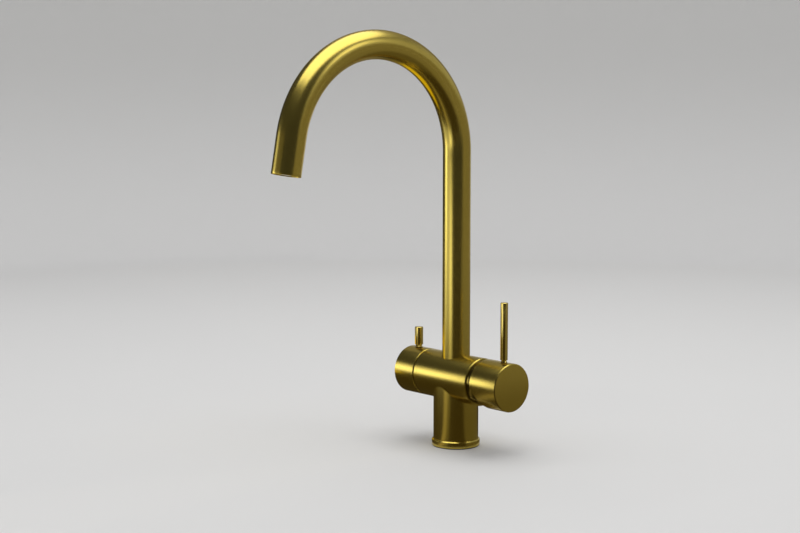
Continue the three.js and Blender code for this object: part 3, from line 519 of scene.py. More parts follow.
barrel = placed(revolve("barrel", rounded([
    (0, -barrel_end, 0), (barrel_radius - barrel_chamfer, -barrel_end, soft_edge),
    (barrel_radius, -barrel_end + barrel_chamfer, soft_edge),
    (barrel_radius, barrel_end - barrel_chamfer, soft_edge),
    (barrel_radius - barrel_chamfer, barrel_end, soft_edge), (0, barrel_end, 0)]), 160), along_right)
column = revolve("column", rounded([
    (0, column_foot, 0), (column_radius, column_foot, 0.2 * mm), (column_radius, barrel_height, 0),
    (0, barrel_height, 0)]), 160)
casting = combined(barrel, [column], "UNION")

bore_end = barrel_end + past
spout_bore = revolve("spout_bore", [
    (0, spigot_floor), (spigot_radius, spigot_floor), (spigot_radius, socket_floor),
    (socket_radius, socket_floor), (socket_radius, body_high.z + past), (0, body_high.z + past)])
cartridge_bore = placed(revolve("cartridge_bore", [
    (0, cartridge_floor), (cartridge_radius, cartridge_floor), (cartridge_radius, nut_start),
    (nut_radius, nut_start), (nut_radius, bore_end), (0, bore_end)]), along_right)
valve_bore = placed(rod("valve_bore", valve_radius, cartridge_floor, bore_end), along_left)
shank_bore = rod("shank_bore", shank_high.y + 0.15 * mm, column_foot - past, shank_high.z + 0.2 * mm)
cavity = rod("cavity", cavity_radius, column_foot - past, bulkhead)
screw_bore = placed(rod("screw_bore", screw_bore_radius, spigot_radius - past, barrel_radius),
                    Matrix.Translation((0, 0, screw_height)) @ Matrix.Rotation(-math.pi / 2, 4, "X"))
inlet_bores = []
for inlet in ("hot_inlet", "cold_inlet", "filtered_inlet"):
    low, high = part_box(inlet)
    middle = (low + high) / 2
    inlet_bores.append(placed(rod(inlet, inlet_bore_radius, bulkhead - past, high.z + 0.1 * mm, 32),
                              Matrix.Translation((middle.x, middle.y, 0))))
casting = combined(casting, [spout_bore, cartridge_bore, valve_bore, shank_bore, cavity, screw_bore,
                             *inlet_bores])

finished("body_casting", casting, barrel_brass, column_brass, crisp=12)
for face in casting.polygons:
    from_barrel = math.hypot(face.center.y, face.center.z - barrel_height)
    face.material_index = int(from_barrel > barrel_radius and face.center.z < barrel_height)
print("casting split by axis")

# %% [markdown]
# ## Base ring and gasket
#
# The ring is a separate turned piece that hides the edge of the deck hole. Its top has a chamfer that
# catches the light, and a hairline gap round the column shows that it is a piece of its own.

# %% Build the base ring and the gasket
ring_low, ring_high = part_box("base_ring")
ring_chamfer = 1.1 * mm
ring_flange = 1.6 * mm
shank_clearance = 16.4 * mm
column_gap = column_radius + 0.2 * mm
finish_turned("base_ring", [
    (shank_clearance, ring_low.z, 0.2 * mm), (ring_high.x, ring_low.z, 0.25 * mm),
    (ring_high.x, ring_high.z - ring_chamfer, 0.3 * mm),
    (ring_high.x - ring_chamfer, ring_high.z, 0.2 * mm), (column_gap, ring_high.z, 0.08 * mm),
    (column_gap, ring_low.z + ring_flange, 0), (shank_clearance, ring_low.z + ring_flange, 0.2 * mm),
], column_brass, 160)


def washer(node, material, rounding, sides=96):
    """A flat ring with rounded edges that fills its node's box."""
    low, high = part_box(node)
    inner = shank_clearance
    outer = max(high.x, high.y)
    corners = [(inner, low.z), (outer, low.z), (outer, high.z), (inner, high.z)]
    finish_turned(node, [(*corner, rounding) for corner in corners], material, sides)


washer("base_gasket", rubber, 0.2 * mm, 128)
washer("rubber_washer", rubber, 0.6 * mm)
washer("clamp_washer", steel, 0.35 * mm)

# %% [markdown]
# ## Threads
#
# A thread follows a rule, so Geometry Nodes cut it: every point on the outside of a turned blank moves
# inwards by a triangle wave of its height, and the wave is shifted by the point's angle, which makes the
# rings one helix. The depth fades out at both ends, where a real die runs out.

# %% Build the thread tree
def make_thread_tree():
    tree, given, result = new_group(
        "cut_thread", "GeometryNodeTree",
        [("Geometry", GEOMETRY, None), ("Pitch", NUMBER, 1.5 * mm), ("Depth", NUMBER, 0.8 * mm),
         ("Thread Radius", NUMBER, 16 * mm), ("Start", NUMBER, 0.0), ("End", NUMBER, 0.01),
         ("Material", MATERIAL, None)],
        [("Geometry", GEOMETRY)])
    position = add(tree, "GeometryNodeInputPosition").outputs[0]
    x, y, z = split(tree, position)
    radius = calc(tree, "SQRT", calc(tree, "ADD", calc(tree, "MULTIPLY", x, x),
                                     calc(tree, "MULTIPLY", y, y)))
    turn = calc(tree, "DIVIDE", calc(tree, "ARCTAN2", y, x), 2 * math.pi)
    phase = calc(tree, "SUBTRACT", calc(tree, "DIVIDE", z, given.outputs["Pitch"]), turn)
    wave = calc(tree, "PINGPONG", calc(tree, "MULTIPLY", phase, 2.0), 1.0)
    from_start = calc(tree, "SUBTRACT", z, given.outputs["Start"])
    to_end = calc(tree, "SUBTRACT", given.outputs["End"], z)
    runout = calc(tree, "DIVIDE", calc(tree, "MINIMUM", from_start, to_end), given.outputs["Pitch"])
    fade = add(tree, "ShaderNodeClamp", {"Value": runout}).outputs[0]
    depth = calc(tree, "MULTIPLY", calc(tree, "MULTIPLY", wave, fade), given.outputs["Depth"])
    off_thread = calc(tree, "ABSOLUTE", calc(tree, "SUBTRACT", radius, given.outputs["Thread Radius"]))
    on_thread = calc(tree, "LESS_THAN", off_thread, 0.02 * mm)
    outwards = add(tree, "ShaderNodeVectorMath", {0: vector(tree, X=x, Y=y)}, operation="NORMALIZE")
    shift = add(tree, "ShaderNodeVectorMath", {
        0: outwards.outputs[0],
        "Scale": calc(tree, "MULTIPLY", depth, -1.0)}, operation="SCALE")
    moved = add(tree, "GeometryNodeSetPosition", {
        "Geometry": given.outputs["Geometry"], "Selection": on_thread, "Offset": shift.outputs[0]})
    end_tree(tree, moved.outputs[0], given, result)
    return tree


thread_tree = make_thread_tree()
thread_depth = 0.54  # of the pitch
print("thread tree with", len(thread_tree.nodes), "nodes")


def run_tree(mesh, tree, values):
    """The mesh with a Geometry Nodes tree applied. Values are by the name of the tree's input."""
    work = as_object(mesh)
    modifier = work.modifiers.new(tree.name, "NODES")
    modifier.node_group = tree
    names = {item.name: item.identifier for item in tree.interface.items_tree
             if item.in_out == "INPUT"}
    for name, value in values.items():
        modifier[names[name]] = value
    return evaluated(work)


def threaded(mesh, radius, start, end, pitch, material):
    return run_tree(mesh, thread_tree, {
        "Pitch": pitch, "Depth": thread_depth * pitch, "Thread Radius": radius, "Start": start,
        "End": end, "Material": material})


def climbing(radius, start, end, spacing):
    """Evenly spaced points up a wall, fine enough to carry a thread."""
    count = max(2, round((end - start) / spacing))
    return [(radius, start + (end - start) * step / count) for step in range(count + 1)]


# %% [markdown]
# ## The shank and what clamps the tap
#
# The shank is a brass pipe with a fine thread from end to end. A rubber washer, a steel washer and a
# large hexagon nut pull the tap down on the deck. The nut's hexagon is a six-sided prism cut by a pair
# of cones, which is how the rounded corners of a real nut come about.

# %% Build the shank and the lock nut
shank_low, shank_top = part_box("threaded_shank")
shank_radius = shank_top.y
shank_wall = 2.2 * mm
shank_pitch = 1.5 * mm
shank_bore_radius = shank_radius - shank_wall
shank_end_chamfer = 0.8 * mm
thread_step = shank_pitch / 6
shank_outline = [
    (shank_bore_radius, shank_low.z + 0.4 * mm), (shank_bore_radius + 0.4 * mm, shank_low.z),
    (shank_radius - shank_end_chamfer, shank_low.z),
    *climbing(shank_radius, shank_low.z + shank_end_chamfer, shank_top.z - 0.5 * mm, thread_step),
    (shank_radius - 0.5 * mm, shank_top.z), (shank_bore_radius, shank_top.z)]
shank = threaded(revolve("threaded_shank", shank_outline, 72), shank_radius,
                 shank_low.z + shank_end_chamfer, shank_top.z - 0.5 * mm, shank_pitch, machined_brass)
finished("threaded_shank", shank, machined_brass, crisp=35)


def hexagon_blank(name, flats, start, end):
    """A hexagon prism whose corners are broken by a cone at each end."""
    corner = flats / 2 / math.cos(math.pi / 6)
    prism = revolve(name, [(0, start), (corner, start), (corner, end), (0, end)], 6)
    drop = (corner - flats / 2) * 0.6
    cone_end = corner - 1.1 * drop
    cone_side = corner + 0.1 * mm
    cones = revolve("cones", [
        (0, start), (cone_end, start), (cone_side, start + drop), (cone_side, end - drop),
        (cone_end, end), (0, end)], 96)
    return combined(prism, [cones], "INTERSECT")


nut_low, nut_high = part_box("lock_nut")
nut_flats = nut_high.x - nut_low.x
nut_bore = shank_radius + 0.15 * mm
nut_drill = revolve("nut_drill", [
    (0, nut_low.z - past), (nut_bore + past, nut_low.z - past), (nut_bore, nut_low.z + 0.8 * mm),
    (nut_bore, nut_high.z - 0.8 * mm), (nut_bore + past, nut_high.z + past), (0, nut_high.z + past)], 72)
finished("lock_nut", combined(hexagon_blank("lock_nut", nut_flats, nut_low.z, nut_high.z),
                              [nut_drill]), machined_brass)

# %% [markdown]
# ## The three inlets
#
# Hot, cold and filtered water arrive through three nipples inside the shank. They are the same piece in
# three places, so one function makes them: a small hexagon for the key, and a threaded neck.

# %% Build the inlets
def inlet_mesh(node):
    low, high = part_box(node)
    middle = (low + high) / 2
    hex_end = low.z + 5 * mm
    neck = 4.9 * mm
    bore = 3.0 * mm
    inlet_pitch = 1.0 * mm
    inlet_flats = 10.5 * mm
    blank = revolve(node, [
        (bore, hex_end - 2 * mm), (neck, hex_end - 2 * mm),
        *climbing(neck, hex_end, high.z - 0.5 * mm, inlet_pitch / 6), (neck - 0.5 * mm, high.z),
        (bore, high.z)], 48)
    neck_mesh = threaded(blank, neck, hex_end, high.z - 0.5 * mm, inlet_pitch, machined_brass)
    head = combined(hexagon_blank("head", inlet_flats, low.z, hex_end),
                    [rod("bore", bore, low.z - past, hex_end + past)])
    return placed(combined(head, [neck_mesh], "UNION"), Matrix.Translation((middle.x, middle.y, 0)))


for node in ("hot_inlet", "cold_inlet", "filtered_inlet"):
    finished(node, inlet_mesh(node), machined_brass, crisp=35)

# %% [markdown]
# ## The spout
#
# The swan neck follows a rule: straight up, round one arc, and straight on to the outlet. A Geometry
# Nodes tree makes it from a plain vertical line. The height along the line is the distance along the
# spout, and a few sums turn that distance into a place on the bend. The tree also stores each point's
# place on the tube as an attribute, so that the brushed rings follow the bend.

# %% Build the spout tree
def make_spout_tree():
    tree, given, result = new_group(
        "swan_neck", "GeometryNodeTree",
        [("Geometry", GEOMETRY, None), ("Foot", NUMBER, 0.087), ("Arch Start", NUMBER, 0.297),
         ("Arch Radius", NUMBER, 0.1), ("Arch Angle", NUMBER, 3.0), ("Outlet Straight", NUMBER, 0.03),
         ("Tube Radius", NUMBER, 0.014), ("Path Steps", WHOLE, 180), ("Facets", WHOLE, 96),
         ("Material", MATERIAL, None)],
        [("Geometry", GEOMETRY)])
    value = given.outputs
    upright = calc(tree, "SUBTRACT", value["Arch Start"], value["Foot"])
    arc_length = calc(tree, "MULTIPLY", value["Arch Radius"], value["Arch Angle"])
    bend_end = calc(tree, "ADD", upright, arc_length)
    total = calc(tree, "ADD", bend_end, value["Outlet Straight"])
    line = add(tree, "GeometryNodeCurvePrimitiveLine", {"End": vector(tree, Z=total)})
    fine_line = add(tree, "GeometryNodeResampleCurve", {
        "Curve": line.outputs[0], "Count": value["Path Steps"]})

    position = add(tree, "GeometryNodeInputPosition").outputs[0]
    along = split(tree, position)["Z"]
    caught = add(tree, "GeometryNodeCaptureAttribute", {0: fine_line.outputs[0]})
    caught.capture_items.new("FLOAT", "Along")
    tree.links.new(along, caught.inputs["Along"])
    way = caught.outputs["Along"]

    on_upright = calc(tree, "MINIMUM", way, upright)
    on_arc = calc(tree, "MAXIMUM", calc(tree, "MINIMUM", calc(tree, "SUBTRACT", way, upright),
                                        arc_length), 0.0)
    past_arc = calc(tree, "MAXIMUM", calc(tree, "SUBTRACT", way, bend_end), 0.0)
    turn = calc(tree, "DIVIDE", on_arc, value["Arch Radius"])
    sine = calc(tree, "SINE", turn)
    cosine = calc(tree, "COSINE", turn)
    reach = calc(tree, "MULTIPLY_ADD", calc(tree, "SUBTRACT", 1.0, cosine), value["Arch Radius"],
                 calc(tree, "MULTIPLY", sine, past_arc))
    rise = calc(tree, "MULTIPLY_ADD", sine, value["Arch Radius"],
                calc(tree, "MULTIPLY", cosine, past_arc))
    height = calc(tree, "ADD", calc(tree, "ADD", value["Foot"], on_upright), rise)
    bent = add(tree, "GeometryNodeSetPosition", {
        "Geometry": caught.outputs[0],
        "Position": vector(tree, Y=calc(tree, "MULTIPLY", reach, -1.0), Z=height)})

    circle = add(tree, "GeometryNodeCurvePrimitiveCircle", {
        "Resolution": value["Facets"], "Radius": value["Tube Radius"]})
    rim = add(tree, "GeometryNodeCaptureAttribute", {0: circle.outputs[0]})
    rim.capture_items.new("VECTOR", "Around")
    tree.links.new(add(tree, "GeometryNodeInputPosition").outputs[0], rim.inputs["Around"])
    swept = add(tree, "GeometryNodeCurveToMesh", {
        "Curve": bent.outputs[0], "Profile Curve": rim.outputs[0]})

    around = split(tree, rim.outputs["Around"])
    stored = add(tree, "GeometryNodeStoreNamedAttribute", {
        "Geometry": swept.outputs[0], "Name": "tube_space",
        "Value": vector(tree, X=around["X"], Y=around["Y"], Z=way)},
        data_type="FLOAT_VECTOR", domain="POINT")
    end_tree(tree, stored.outputs[0], given, result)
    return tree


spout_tree = make_spout_tree()
print("spout tree with", len(spout_tree.nodes), "nodes")

# %% [markdown]
# The tree gives the tube's outer skin. Solidify adds the wall inwards, and a small Bevel softens the cut
# ends, which is what the eye reads as the thickness of the metal.

# %% Sweep the tube, thicken it and soften its ends
rim_bevel = 0.25 * mm
skin = run_tree(bpy.data.meshes.new("spout_tube"), spout_tree, {
    "Foot": tube_foot, "Arch Start": arch_start, "Arch Radius": arch_radius,
    "Arch Angle": arch_angle, "Outlet Straight": outlet_straight, "Tube Radius": tube_radius,
    "Material": spout_brass})
shape = bmesh.new()
shape.from_mesh(skin)
bmesh.ops.recalc_face_normals(shape, faces=shape.faces)
shape.to_mesh(skin)
shape.free()
spout = as_object(skin)
thickness = spout.modifiers.new("wall", "SOLIDIFY")
thickness.thickness = tube_wall
thickness.offset = -1
bevel = spout.modifiers.new("rim", "BEVEL")
bevel.width = rim_bevel
bevel.segments = 3
bevel.limit_method = "ANGLE"
bevel.angle_limit = math.radians(50)
finished("spout_tube", evaluated(spout), spout_brass)

# %% [markdown]
# ## Knobs
#
# Each knob is turned from bar: a cup that opens towards the barrel, a solid outer end, and a drilled
# seat on top for the lever's foot. The hole underneath is for the grub screw and gets a small plug.

# %% Build the knobs
rim_chamfer = 0.5 * mm
end_chamfer = 0.8 * mm
stud_bore = 2.55 * mm
stud_bore_depth = 12.5 * mm


def slant_rim(blank, start, angle):
    """Push the rim away from the barrel below the axis, as if a slanted plane had cut it."""
    for vertex in blank.vertices:
        if vertex.co.z < start + 2 * rim_chamfer:
            vertex.co.z += max(0.0, vertex.co.x) * math.tan(angle)


def knob(node, matrix, cup_end, wall, lever_place, socket, slant=0.0):
    low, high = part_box(node)
    start, end = sorted((abs(low.x), abs(high.x)))
    radius = high.y
    blank = revolve(node, rounded([
        (0, cup_end, 0), (radius - wall, cup_end, 0.6 * mm), (radius - wall, start, soft_edge),
        (radius - rim_chamfer, start, soft_edge), (radius, start + rim_chamfer, soft_edge),
        (radius, end - end_chamfer, soft_edge), (radius - end_chamfer, end, soft_edge),
        (0, end, 0)]), 160)
    slant_rim(blank, start, slant)
    seat = rod("seat", stud_bore, radius - stud_bore_depth, radius + past, 32)
    hole = rod("hole", stud_bore, -radius - past, 0, 32)
    for tool in (seat, hole):
        tool.transform(Matrix.Translation((lever_place, 0, barrel_height)))
    finished(node, combined(placed(blank, matrix), [socket, seat, hole]), barrel_brass, crisp=20)


mixer_cup_end = barrel_end + 25.3 * mm
mixer_wall = 1.2 * mm
mixer_slant = math.radians(28)
half_square = 4.1 * mm
socket_depth = 9.7 * mm
mixer_lever_low, mixer_lever_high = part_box("mixer_lever")
mixer_place = (mixer_lever_low.x + mixer_lever_high.x) / 2
square_socket = placed(
    rod("socket", half_square * math.sqrt(2), mixer_cup_end - past, mixer_cup_end + socket_depth, 4),
    along_right @ Matrix.Rotation(math.pi / 4, 4, "Z"))
knob("mixer_knob", along_right, mixer_cup_end, mixer_wall, mixer_place, square_socket, mixer_slant)

filter_cup_end = barrel_end + 13.8 * mm
filter_wall = 3.5 * mm
spline_radius = 4.2 * mm
spline_depth = 10 * mm
filter_lever_low, filter_lever_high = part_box("filter_lever")
filter_place = (filter_lever_low.x + filter_lever_high.x) / 2
spline_socket = placed(
    rod("socket", spline_radius, filter_cup_end - past, filter_cup_end + spline_depth), along_left)
knob("filter_knob", along_left, filter_cup_end, filter_wall, filter_place, spline_socket)

# %% [markdown]
# ## Levers
#
# The levers are slim rods, turned and then polished, so they mirror the room more sharply than the
# brushed pieces. A collar at the foot catches the light above the knob, and the tip has a fine chamfer.

# %% Build the levers
def lever(node, centre):
    low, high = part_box(node)
    radius = (high.x - low.x) / 2
    foot = barrel_height + barrel_radius
    stud = 2.4 * mm
    collar = radius - 0.1 * mm
    neck = radius - 1.4 * mm
    neck_start = foot + 2.1 * mm
    rod_start = foot + 2.4 * mm
    foot_chamfer = 0.3 * mm
    tip_chamfer = 0.5 * mm
    finish_turned(node, [
        (0, low.z, 0), (stud, low.z, 0.3 * mm), (stud, foot - 0.05 * mm, 0),
        (collar, foot + 0.5 * mm, 0.15 * mm), (neck, neck_start, 0.1 * mm), (neck, rod_start, 0),
        (radius - foot_chamfer, rod_start, 0.1 * mm), (radius, rod_start + foot_chamfer, 0.15 * mm),
        (radius, high.z - tip_chamfer, 0.4 * mm), (radius - tip_chamfer, high.z, 0.2 * mm),
        (0, high.z, 0)], lever_brass, 64, Matrix.Translation((centre, 0, 0)))


lever("mixer_lever", mixer_place)
lever("filter_lever", filter_place)


def screw_plug(node, centre):
    low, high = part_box(node)
    finish_turned(node, [
        (0, low.z, 0), (high.y, low.z, 0.4 * mm), (high.y, high.z, 0.2 * mm), (0, high.z, 0)],
        lever_brass, 48, Matrix.Translation((centre, 0, 0)))


screw_plug("mixer_screw_plug", mixer_place)
screw_plug("filter_screw_plug", filter_place)

# %% [markdown]
# ## The shroud behind the mixer knob
#
# A domed cover hides the cartridge nut. It is a zone of a sphere about the point where the handle
# tilts, so the knob's rim can swing over it with an even gap. Its brass is painted darker than the
# rest, a painted shade for the shadow in that gap, so the dome shows as a dark sliver there.

# %% Build the shroud
shroud_low, shroud_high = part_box("cartridge_shroud")
pivot_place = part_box("spindle_pin")
pivot = (pivot_place[0].x + pivot_place[1].x) / 2
sphere_radius = 22.4 * mm
shroud_wall = 1.2 * mm
opening_radius = 12.8 * mm
shroud_steps = 24


def sphere_zone(radius, start, end):
    """Points on a circle about the pivot, from one place along the barrel to another."""
    places = [start + (end - start) * step / shroud_steps for step in range(shroud_steps + 1)]
    return [(math.sqrt(radius ** 2 - (place - pivot) ** 2), place) for place in places]


inner_end = shroud_high.x - shroud_wall
shroud_outline = [
    *sphere_zone(sphere_radius, shroud_low.x, shroud_high.x), (opening_radius, shroud_high.x),
    (opening_radius, inner_end), *sphere_zone(sphere_radius - shroud_wall, inner_end, shroud_low.x)]
# the shroud gets the darker brass, a painted shade for the gap under the knob's rim
finished("cartridge_shroud", placed(revolve("cartridge_shroud", shroud_outline, 128), along_right),
         painted_shade_brass)

# %% [markdown]
# ## The outlet
#
# Mixed water leaves through a ring of slots, and filtered water through the nozzle in the middle. The
# slots are the gaps between ribs that repeat round a circle, so a Geometry Nodes tree places the ribs.
# The outlet's frame sits on the cut end of the tube, with Z the way the water leaves.

# %% Find the outlet's frame
outlet_direction = Vector((0, -math.sin(arch_angle), math.cos(arch_angle)))
outlet_place = Vector((
    0,
    -arch_radius * (1 - math.cos(arch_angle)) + outlet_direction.y * outlet_straight,
    arch_start + arch_radius * math.sin(arch_angle) + outlet_direction.z * outlet_straight))
outlet_frame = Matrix.Translation(outlet_place) @ Vector((0, 0, 1)).rotation_difference(
    outlet_direction).to_matrix().to_4x4()
print("outlet at", [round(value, 4) for value in outlet_place])


# %% Build the rib tree
def make_rib_tree():
    tree, given, result = new_group(
        "rib_ring", "GeometryNodeTree",
        [("Geometry", GEOMETRY, None), ("Count", WHOLE, 14), ("Inner", NUMBER, 5 * mm),
         ("Outer", NUMBER, 10 * mm), ("Thickness", NUMBER, 1 * mm), ("Bottom", NUMBER, 0.0),
         ("Top", NUMBER, 5 * mm), ("Material", MATERIAL, None)],
        [("Geometry", GEOMETRY)])
    value = given.outputs
    middle = calc(tree, "MULTIPLY", calc(tree, "ADD", value["Inner"], value["Outer"]), 0.5)
    circle = add(tree, "GeometryNodeMeshCircle", {"Vertices": value["Count"], "Radius": middle})
    place = add(tree, "GeometryNodeInputPosition").outputs[0]
    turned = add(tree, "FunctionNodeAlignRotationToVector", {"Vector": place}, axis="X")
    rib = add(tree, "GeometryNodeMeshCube", {"Size": vector(
        tree, X=calc(tree, "SUBTRACT", value["Outer"], value["Inner"]), Y=value["Thickness"],
        Z=calc(tree, "SUBTRACT", value["Top"], value["Bottom"]))})
    ribs = add(tree, "GeometryNodeInstanceOnPoints", {
        "Points": circle.outputs[0], "Instance": rib.outputs[0], "Rotation": turned.outputs[0]})
    half_height = calc(tree, "MULTIPLY", calc(tree, "ADD", value["Top"], value["Bottom"]), 0.5)
    lifted = add(tree, "GeometryNodeTransform", {
        "Geometry": ribs.outputs[0], "Translation": vector(tree, Z=half_height)})
    joined = add(tree, "GeometryNodeJoinGeometry")
    tree.links.new(given.outputs["Geometry"], joined.inputs[0])
    tree.links.new(lifted.outputs[0], joined.inputs[0])
    end_tree(tree, joined.outputs[0], given, result)
    return tree


rib_tree = make_rib_tree()
print("rib tree with", len(rib_tree.nodes), "nodes")

# %% [markdown]
# The housing is a brass ring with a lip that keeps the plastic insert in. The nozzle stands in the
# middle, a little proud of the lip, and holds the end of the narrow tube for filtered water.

# %% Build the aerator and the nozzle
recess = 1 * mm
aerator_length = 12 * mm
housing_radius = tube_radius - tube_wall - 0.15 * mm
housing_wall = 1.5 * mm
insert_radius = housing_radius - housing_wall - 0.15 * mm
lip = 1.1 * mm
lip_radius = insert_radius - 0.8 * mm
housing_top = -(recess + aerator_length)
insert_length = 7 * mm
insert_end = -(recess + lip + 0.1 * mm)
insert_start = insert_end - insert_length
nozzle_radius = 5.4 * mm
insert_rim = 1.2 * mm

finish_turned("aerator_housing", [
    (housing_radius - housing_wall, housing_top, 0.2 * mm), (housing_radius, housing_top, 0.3 * mm),
    (housing_radius, -recess, 0.35 * mm), (lip_radius, -recess, 0.3 * mm),
    (lip_radius, -recess - lip, 0.15 * mm),
    (housing_radius - housing_wall, -recess - lip, 0)], machined_brass, 128, outlet_frame)


def ring_corners(inner, outer, bottom, top, rounding):
    corners = [(inner, bottom), (outer, bottom), (outer, top), (inner, top)]
    return rounded([(radius, height, rounding) for radius, height in corners], 3)


insert_hub = revolve("hub", ring_corners(
    nozzle_radius + 0.15 * mm, nozzle_radius + insert_rim, insert_start, insert_end, 0.15 * mm), 96)
insert_wall = revolve("wall", ring_corners(
    insert_radius - insert_rim, insert_radius, insert_start, insert_end, 0.15 * mm), 96)
ribs = run_tree(bpy.data.meshes.new("ribs"), rib_tree, {
    "Inner": nozzle_radius + insert_rim / 2, "Outer": insert_radius - insert_rim / 2,
    "Thickness": 1.4 * mm, "Bottom": insert_start + 0.3 * mm, "Top": insert_end - 0.3 * mm,
    "Material": white_plastic})
finished("aerator_insert", placed(combined(insert_hub, [insert_wall, ribs], "UNION"), outlet_frame),
         white_plastic, crisp=30)

nozzle_tip = -recess + 0.4 * mm
nozzle_bore = 2.9 * mm
nozzle_socket = 4.15 * mm
nozzle_socket_depth = 6 * mm
socket_end = housing_top + nozzle_socket_depth
finish_turned("filtered_nozzle", [
    (nozzle_socket, housing_top, 0.15 * mm), (nozzle_radius, housing_top, 0.3 * mm),
    (nozzle_radius, nozzle_tip, 0.6 * mm), (nozzle_bore, nozzle_tip, 0.3 * mm),
    (nozzle_bore, socket_end, 0), (nozzle_socket, socket_end, 0)], white_plastic, matrix=outlet_frame)

# %% [markdown]
# ## Floor, backdrop and light
#
# Metal shows nothing but its surroundings, so the stage decides the look. A pale sweep runs round the
# tap and a wide lamp hangs above it. White, dark, brown and olive cards stand and lie round the tap, as
# a product photographer's cards do, in place of a window, a room and a worktop. Only reflections see
# them, so they put bands on the brass and no light on the floor. A golden one warms the arch's inside.

# %% Build the sweep
blend_height = 0.5  # the floor's colour passes into the wall's up to here


def stage_material(name, floor_colour, wall_colour, roughness):
    material, tree, shader = new_material(name)
    coordinates = add(tree, "ShaderNodeTexCoord").outputs["Object"]
    height = split(tree, coordinates)["Z"]
    rise = add(tree, "ShaderNodeMapRange", {
        "Value": height, "From Max": blend_height}, interpolation_type="SMOOTHSTEP").outputs[0]
    tone = add(tree, "ShaderNodeMix", {
        "Factor": rise, "A": (*floor_colour, 1), "B": (*wall_colour, 1)}, data_type="RGBA")
    tree.links.new(tone.outputs[2], shader.inputs["Base Color"])
    mottle = add(tree, "ShaderNodeTexNoise", {"Vector": coordinates, "Scale": 2.0, "Detail": 2.0})
    gloss = add(tree, "ShaderNodeMapRange", {
        "Value": mottle.outputs["Fac"], "To Min": roughness - 0.05, "To Max": roughness + 0.05})
    tree.links.new(gloss.outputs[0], shader.inputs["Roughness"])
    shader.inputs["Specular IOR Level"].default_value = 0.1
    return material


sweep_radius = 2.5
sweep_bend = 0.8
sweep_top = 2.6
bend_steps = 24
sweep_outline = [(0, 0), (sweep_radius - sweep_bend, 0)]
for step in range(1, bend_steps + 1):
    angle = math.pi / 2 * step / bend_steps
    sweep_outline.append((sweep_radius - sweep_bend + sweep_bend * math.sin(angle),
                          sweep_bend - sweep_bend * math.cos(angle)))
sweep_outline.append((sweep_radius, sweep_top))

sweep_mesh = revolve("sweep", sweep_outline, 128)
sweep_mesh.shade_smooth()
floor_colour, wall_colour = (0.76, 0.755, 0.75), (0.62, 0.615, 0.605)
sweep_mesh.materials.append(stage_material("pale_sweep", floor_colour, wall_colour, 0.7))
as_object(sweep_mesh)
print("sweep", len(sweep_mesh.polygons), "faces,", 2 * sweep_radius, "m across")

# %% [markdown]
# There are two lamps. The one above is wider than the tap is tall, so its shadow is soft, and the one
# high on the right lights the far side of the bend. The sky fills in, so no side turns black.

# %% Place the lamps
camera_direction = math.atan2(camera_place.y, camera_place.x)


def around_camera(degrees, distance, height):
    """A place round the tap. Degrees count from the camera's direction, and left is negative."""
    angle = camera_direction + math.radians(degrees)
    return Vector((distance * math.cos(angle), distance * math.sin(angle), height))


def softbox(name, place, facing, width, height, radiance):
    """A panel of light. A radiance of 1 is as bright as white paper."""
    data = bpy.data.lights.new(name, "AREA")
    data.shape = "RECTANGLE"
    data.size = width
    data.size_y = height
    data.energy = math.pi * width * height * radiance
    lamp = bpy.data.objects.new(name, data)
    lamp.location = place
    lamp.rotation_euler = facing
    lamp.visible_camera = False
    bpy.context.scene.collection.objects.link(lamp)


top_size = 2.8
softbox("top", (0, 0, 2.3), (0, 0, 0), top_size, top_size, 1.9)

side_place = around_camera(68, 1.7, 1.275)
towards_tap = Vector((-side_place.x, -side_place.y, 0)).to_track_quat("-Z", "Y").to_euler()
softbox("high_right", side_place, towards_tap, 0.6, 0.65, 1.6)

world = bpy.data.worlds.new("soft_sky")
world.use_nodes = True
world.node_tree.nodes["Background"].inputs["Color"].default_value = (0.8, 0.82, 0.85, 1)
world.node_tree.nodes["Background"].inputs["Strength"].default_value = 0.35
bpy.context.scene.world = world

# %% [markdown]
# Each card is a strip with a plain glow, so its colour stays what is written here. Its place is a range
# of bearings round the tap with a range of heights, or with a range of distances on the floor.

# %% Place the cards
def card(name, first_edge, second_edge, shade):
    """A strip between two rows of points. Only reflections see it."""
    shape = bmesh.new()
    rows = [[shape.verts.new(point) for point in edge] for edge in (first_edge, second_edge)]
    for place in range(len(first_edge) - 1):
        shape.faces.new((rows[0][place], rows[0][place + 1], rows[1][place + 1], rows[1][place]))
    mesh = bpy.data.meshes.new(name)
    shape.to_mesh(mesh)
    shape.free()
    material = bpy.data.materials.new(name)
    material.use_nodes = True
    tree = material.node_tree
    tree.nodes.clear()
    glow = add(tree, "ShaderNodeEmission", {"Color": (*shade, 1)})
    add(tree, "ShaderNodeOutputMaterial", {"Surface": glow.outputs[0]})
    mesh.materials.append(material)
    strip = as_object(mesh)
    strip.visible_camera = False
    strip.visible_diffuse = False
    strip.visible_shadow = False


bearing_step = 5  # degrees


def bearings(start, end):
    steps = max(1, round((end - start) / bearing_step))
    return [start + (end - start) * step / steps for step in range(steps + 1)]


def standing_card(name, start, end, distance, low, high, shade):
    card(name, [around_camera(bearing, distance, low) for bearing in bearings(start, end)],
         [around_camera(bearing, distance, high) for bearing in bearings(start, end)], shade)


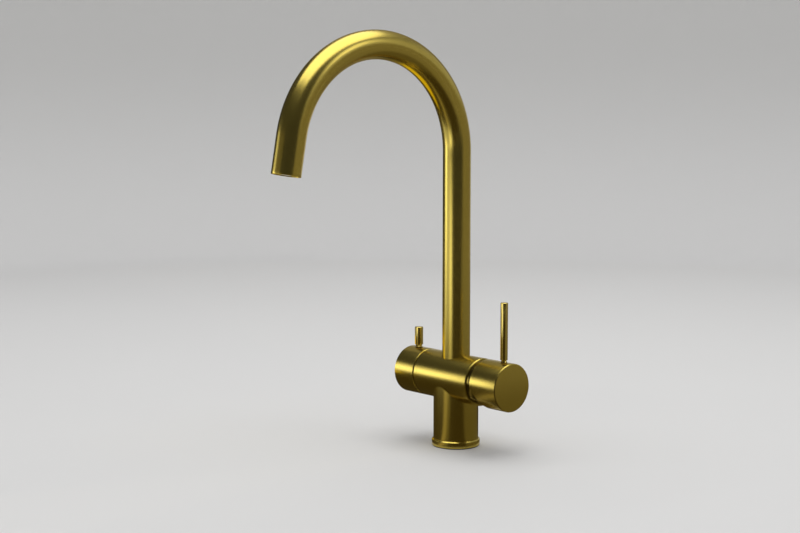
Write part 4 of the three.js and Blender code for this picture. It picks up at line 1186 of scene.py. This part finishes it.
def floor_card(name, start, end, inner, outer, shade, height=0.5 * mm):
    card(name, [around_camera(bearing, inner, height) for bearing in bearings(start, end)],
         [around_camera(bearing, outer, height) for bearing in bearings(start, end)], shade)


dark = (0.05, 0.05, 0.05)
brown = (0.055, 0.042, 0.018)
olive = (0.14, 0.12, 0.07)
grey = (0.24, 0.22, 0.17)
gold = (1.0, 0.76, 0.03)
white = (1.0, 1.0, 1.0)
warm = (0.36, 0.31, 0.2)
stone = (0.2, 0.18, 0.14)
bright = (1.9, 1.9, 1.9)
daylight = (2.6, 2.6, 2.6)
for row in (
        ("window", -107, -87, 1.6, 0.0, 0.42, daylight),
        ("window_top", -107, -87, 1.6, 0.42, 0.62, white),
        ("low_left", -86, -46, 1.6, 0.0, 0.25, white),
        ("low_front_left", -59, -38, 0.9, 0.0, 0.19, bright),
        ("card_back_left", -170, -150, 1.8, 0.0, 0.6, dark),
        ("card_back", -180, -150, 1.85, 0.6, 2.4, grey),
        ("card_back_right", 140, 180, 1.85, 0.6, 2.4, grey),
        ("card_left", -150, -30, 1.8, 0.0, 2.4, dark),
        ("card_left_low", -86, -46, 1.75, 0.25, 0.7, stone),
        ("card_front", -30, 50, 1.8, 0.0, 2.4, dark),
        ("card_right", 50, 140, 1.8, 0.0, 0.6, grey),
):
    standing_card(*row)
for row in (
        ("floor_front", -30, 38, 0.03, 1.8, brown),
        ("floor_front_left", -44, -30, 0.03, 0.7, olive),
        ("floor_bright_left", -62, -44, 0.03, 0.7, warm),
        ("floor_left", -112, -62, 0.03, 0.7, brown),
        ("floor_back_left", -180, -112, 0.03, 0.18, brown),
        ("floor_far_left", -156, -112, 0.18, 1.8, brown),
        ("floor_far_back", -180, -156, 0.18, 1.8, olive),
        ("gold_reflector", -160, -104, 0.15, 0.42, gold, 47 * mm),
        ("floor_right", 38, 130, 0.03, 0.45, olive),
        ("floor_far_right", 38, 130, 0.45, 1.8, grey),
        ("floor_back", 130, 180, 0.03, 0.35, brown),
        ("floor_back_right", 130, 180, 0.35, 1.8, grey),
):
    floor_card(*row)
print("cards placed round the camera's direction,", round(math.degrees(camera_direction), 1), "degrees")
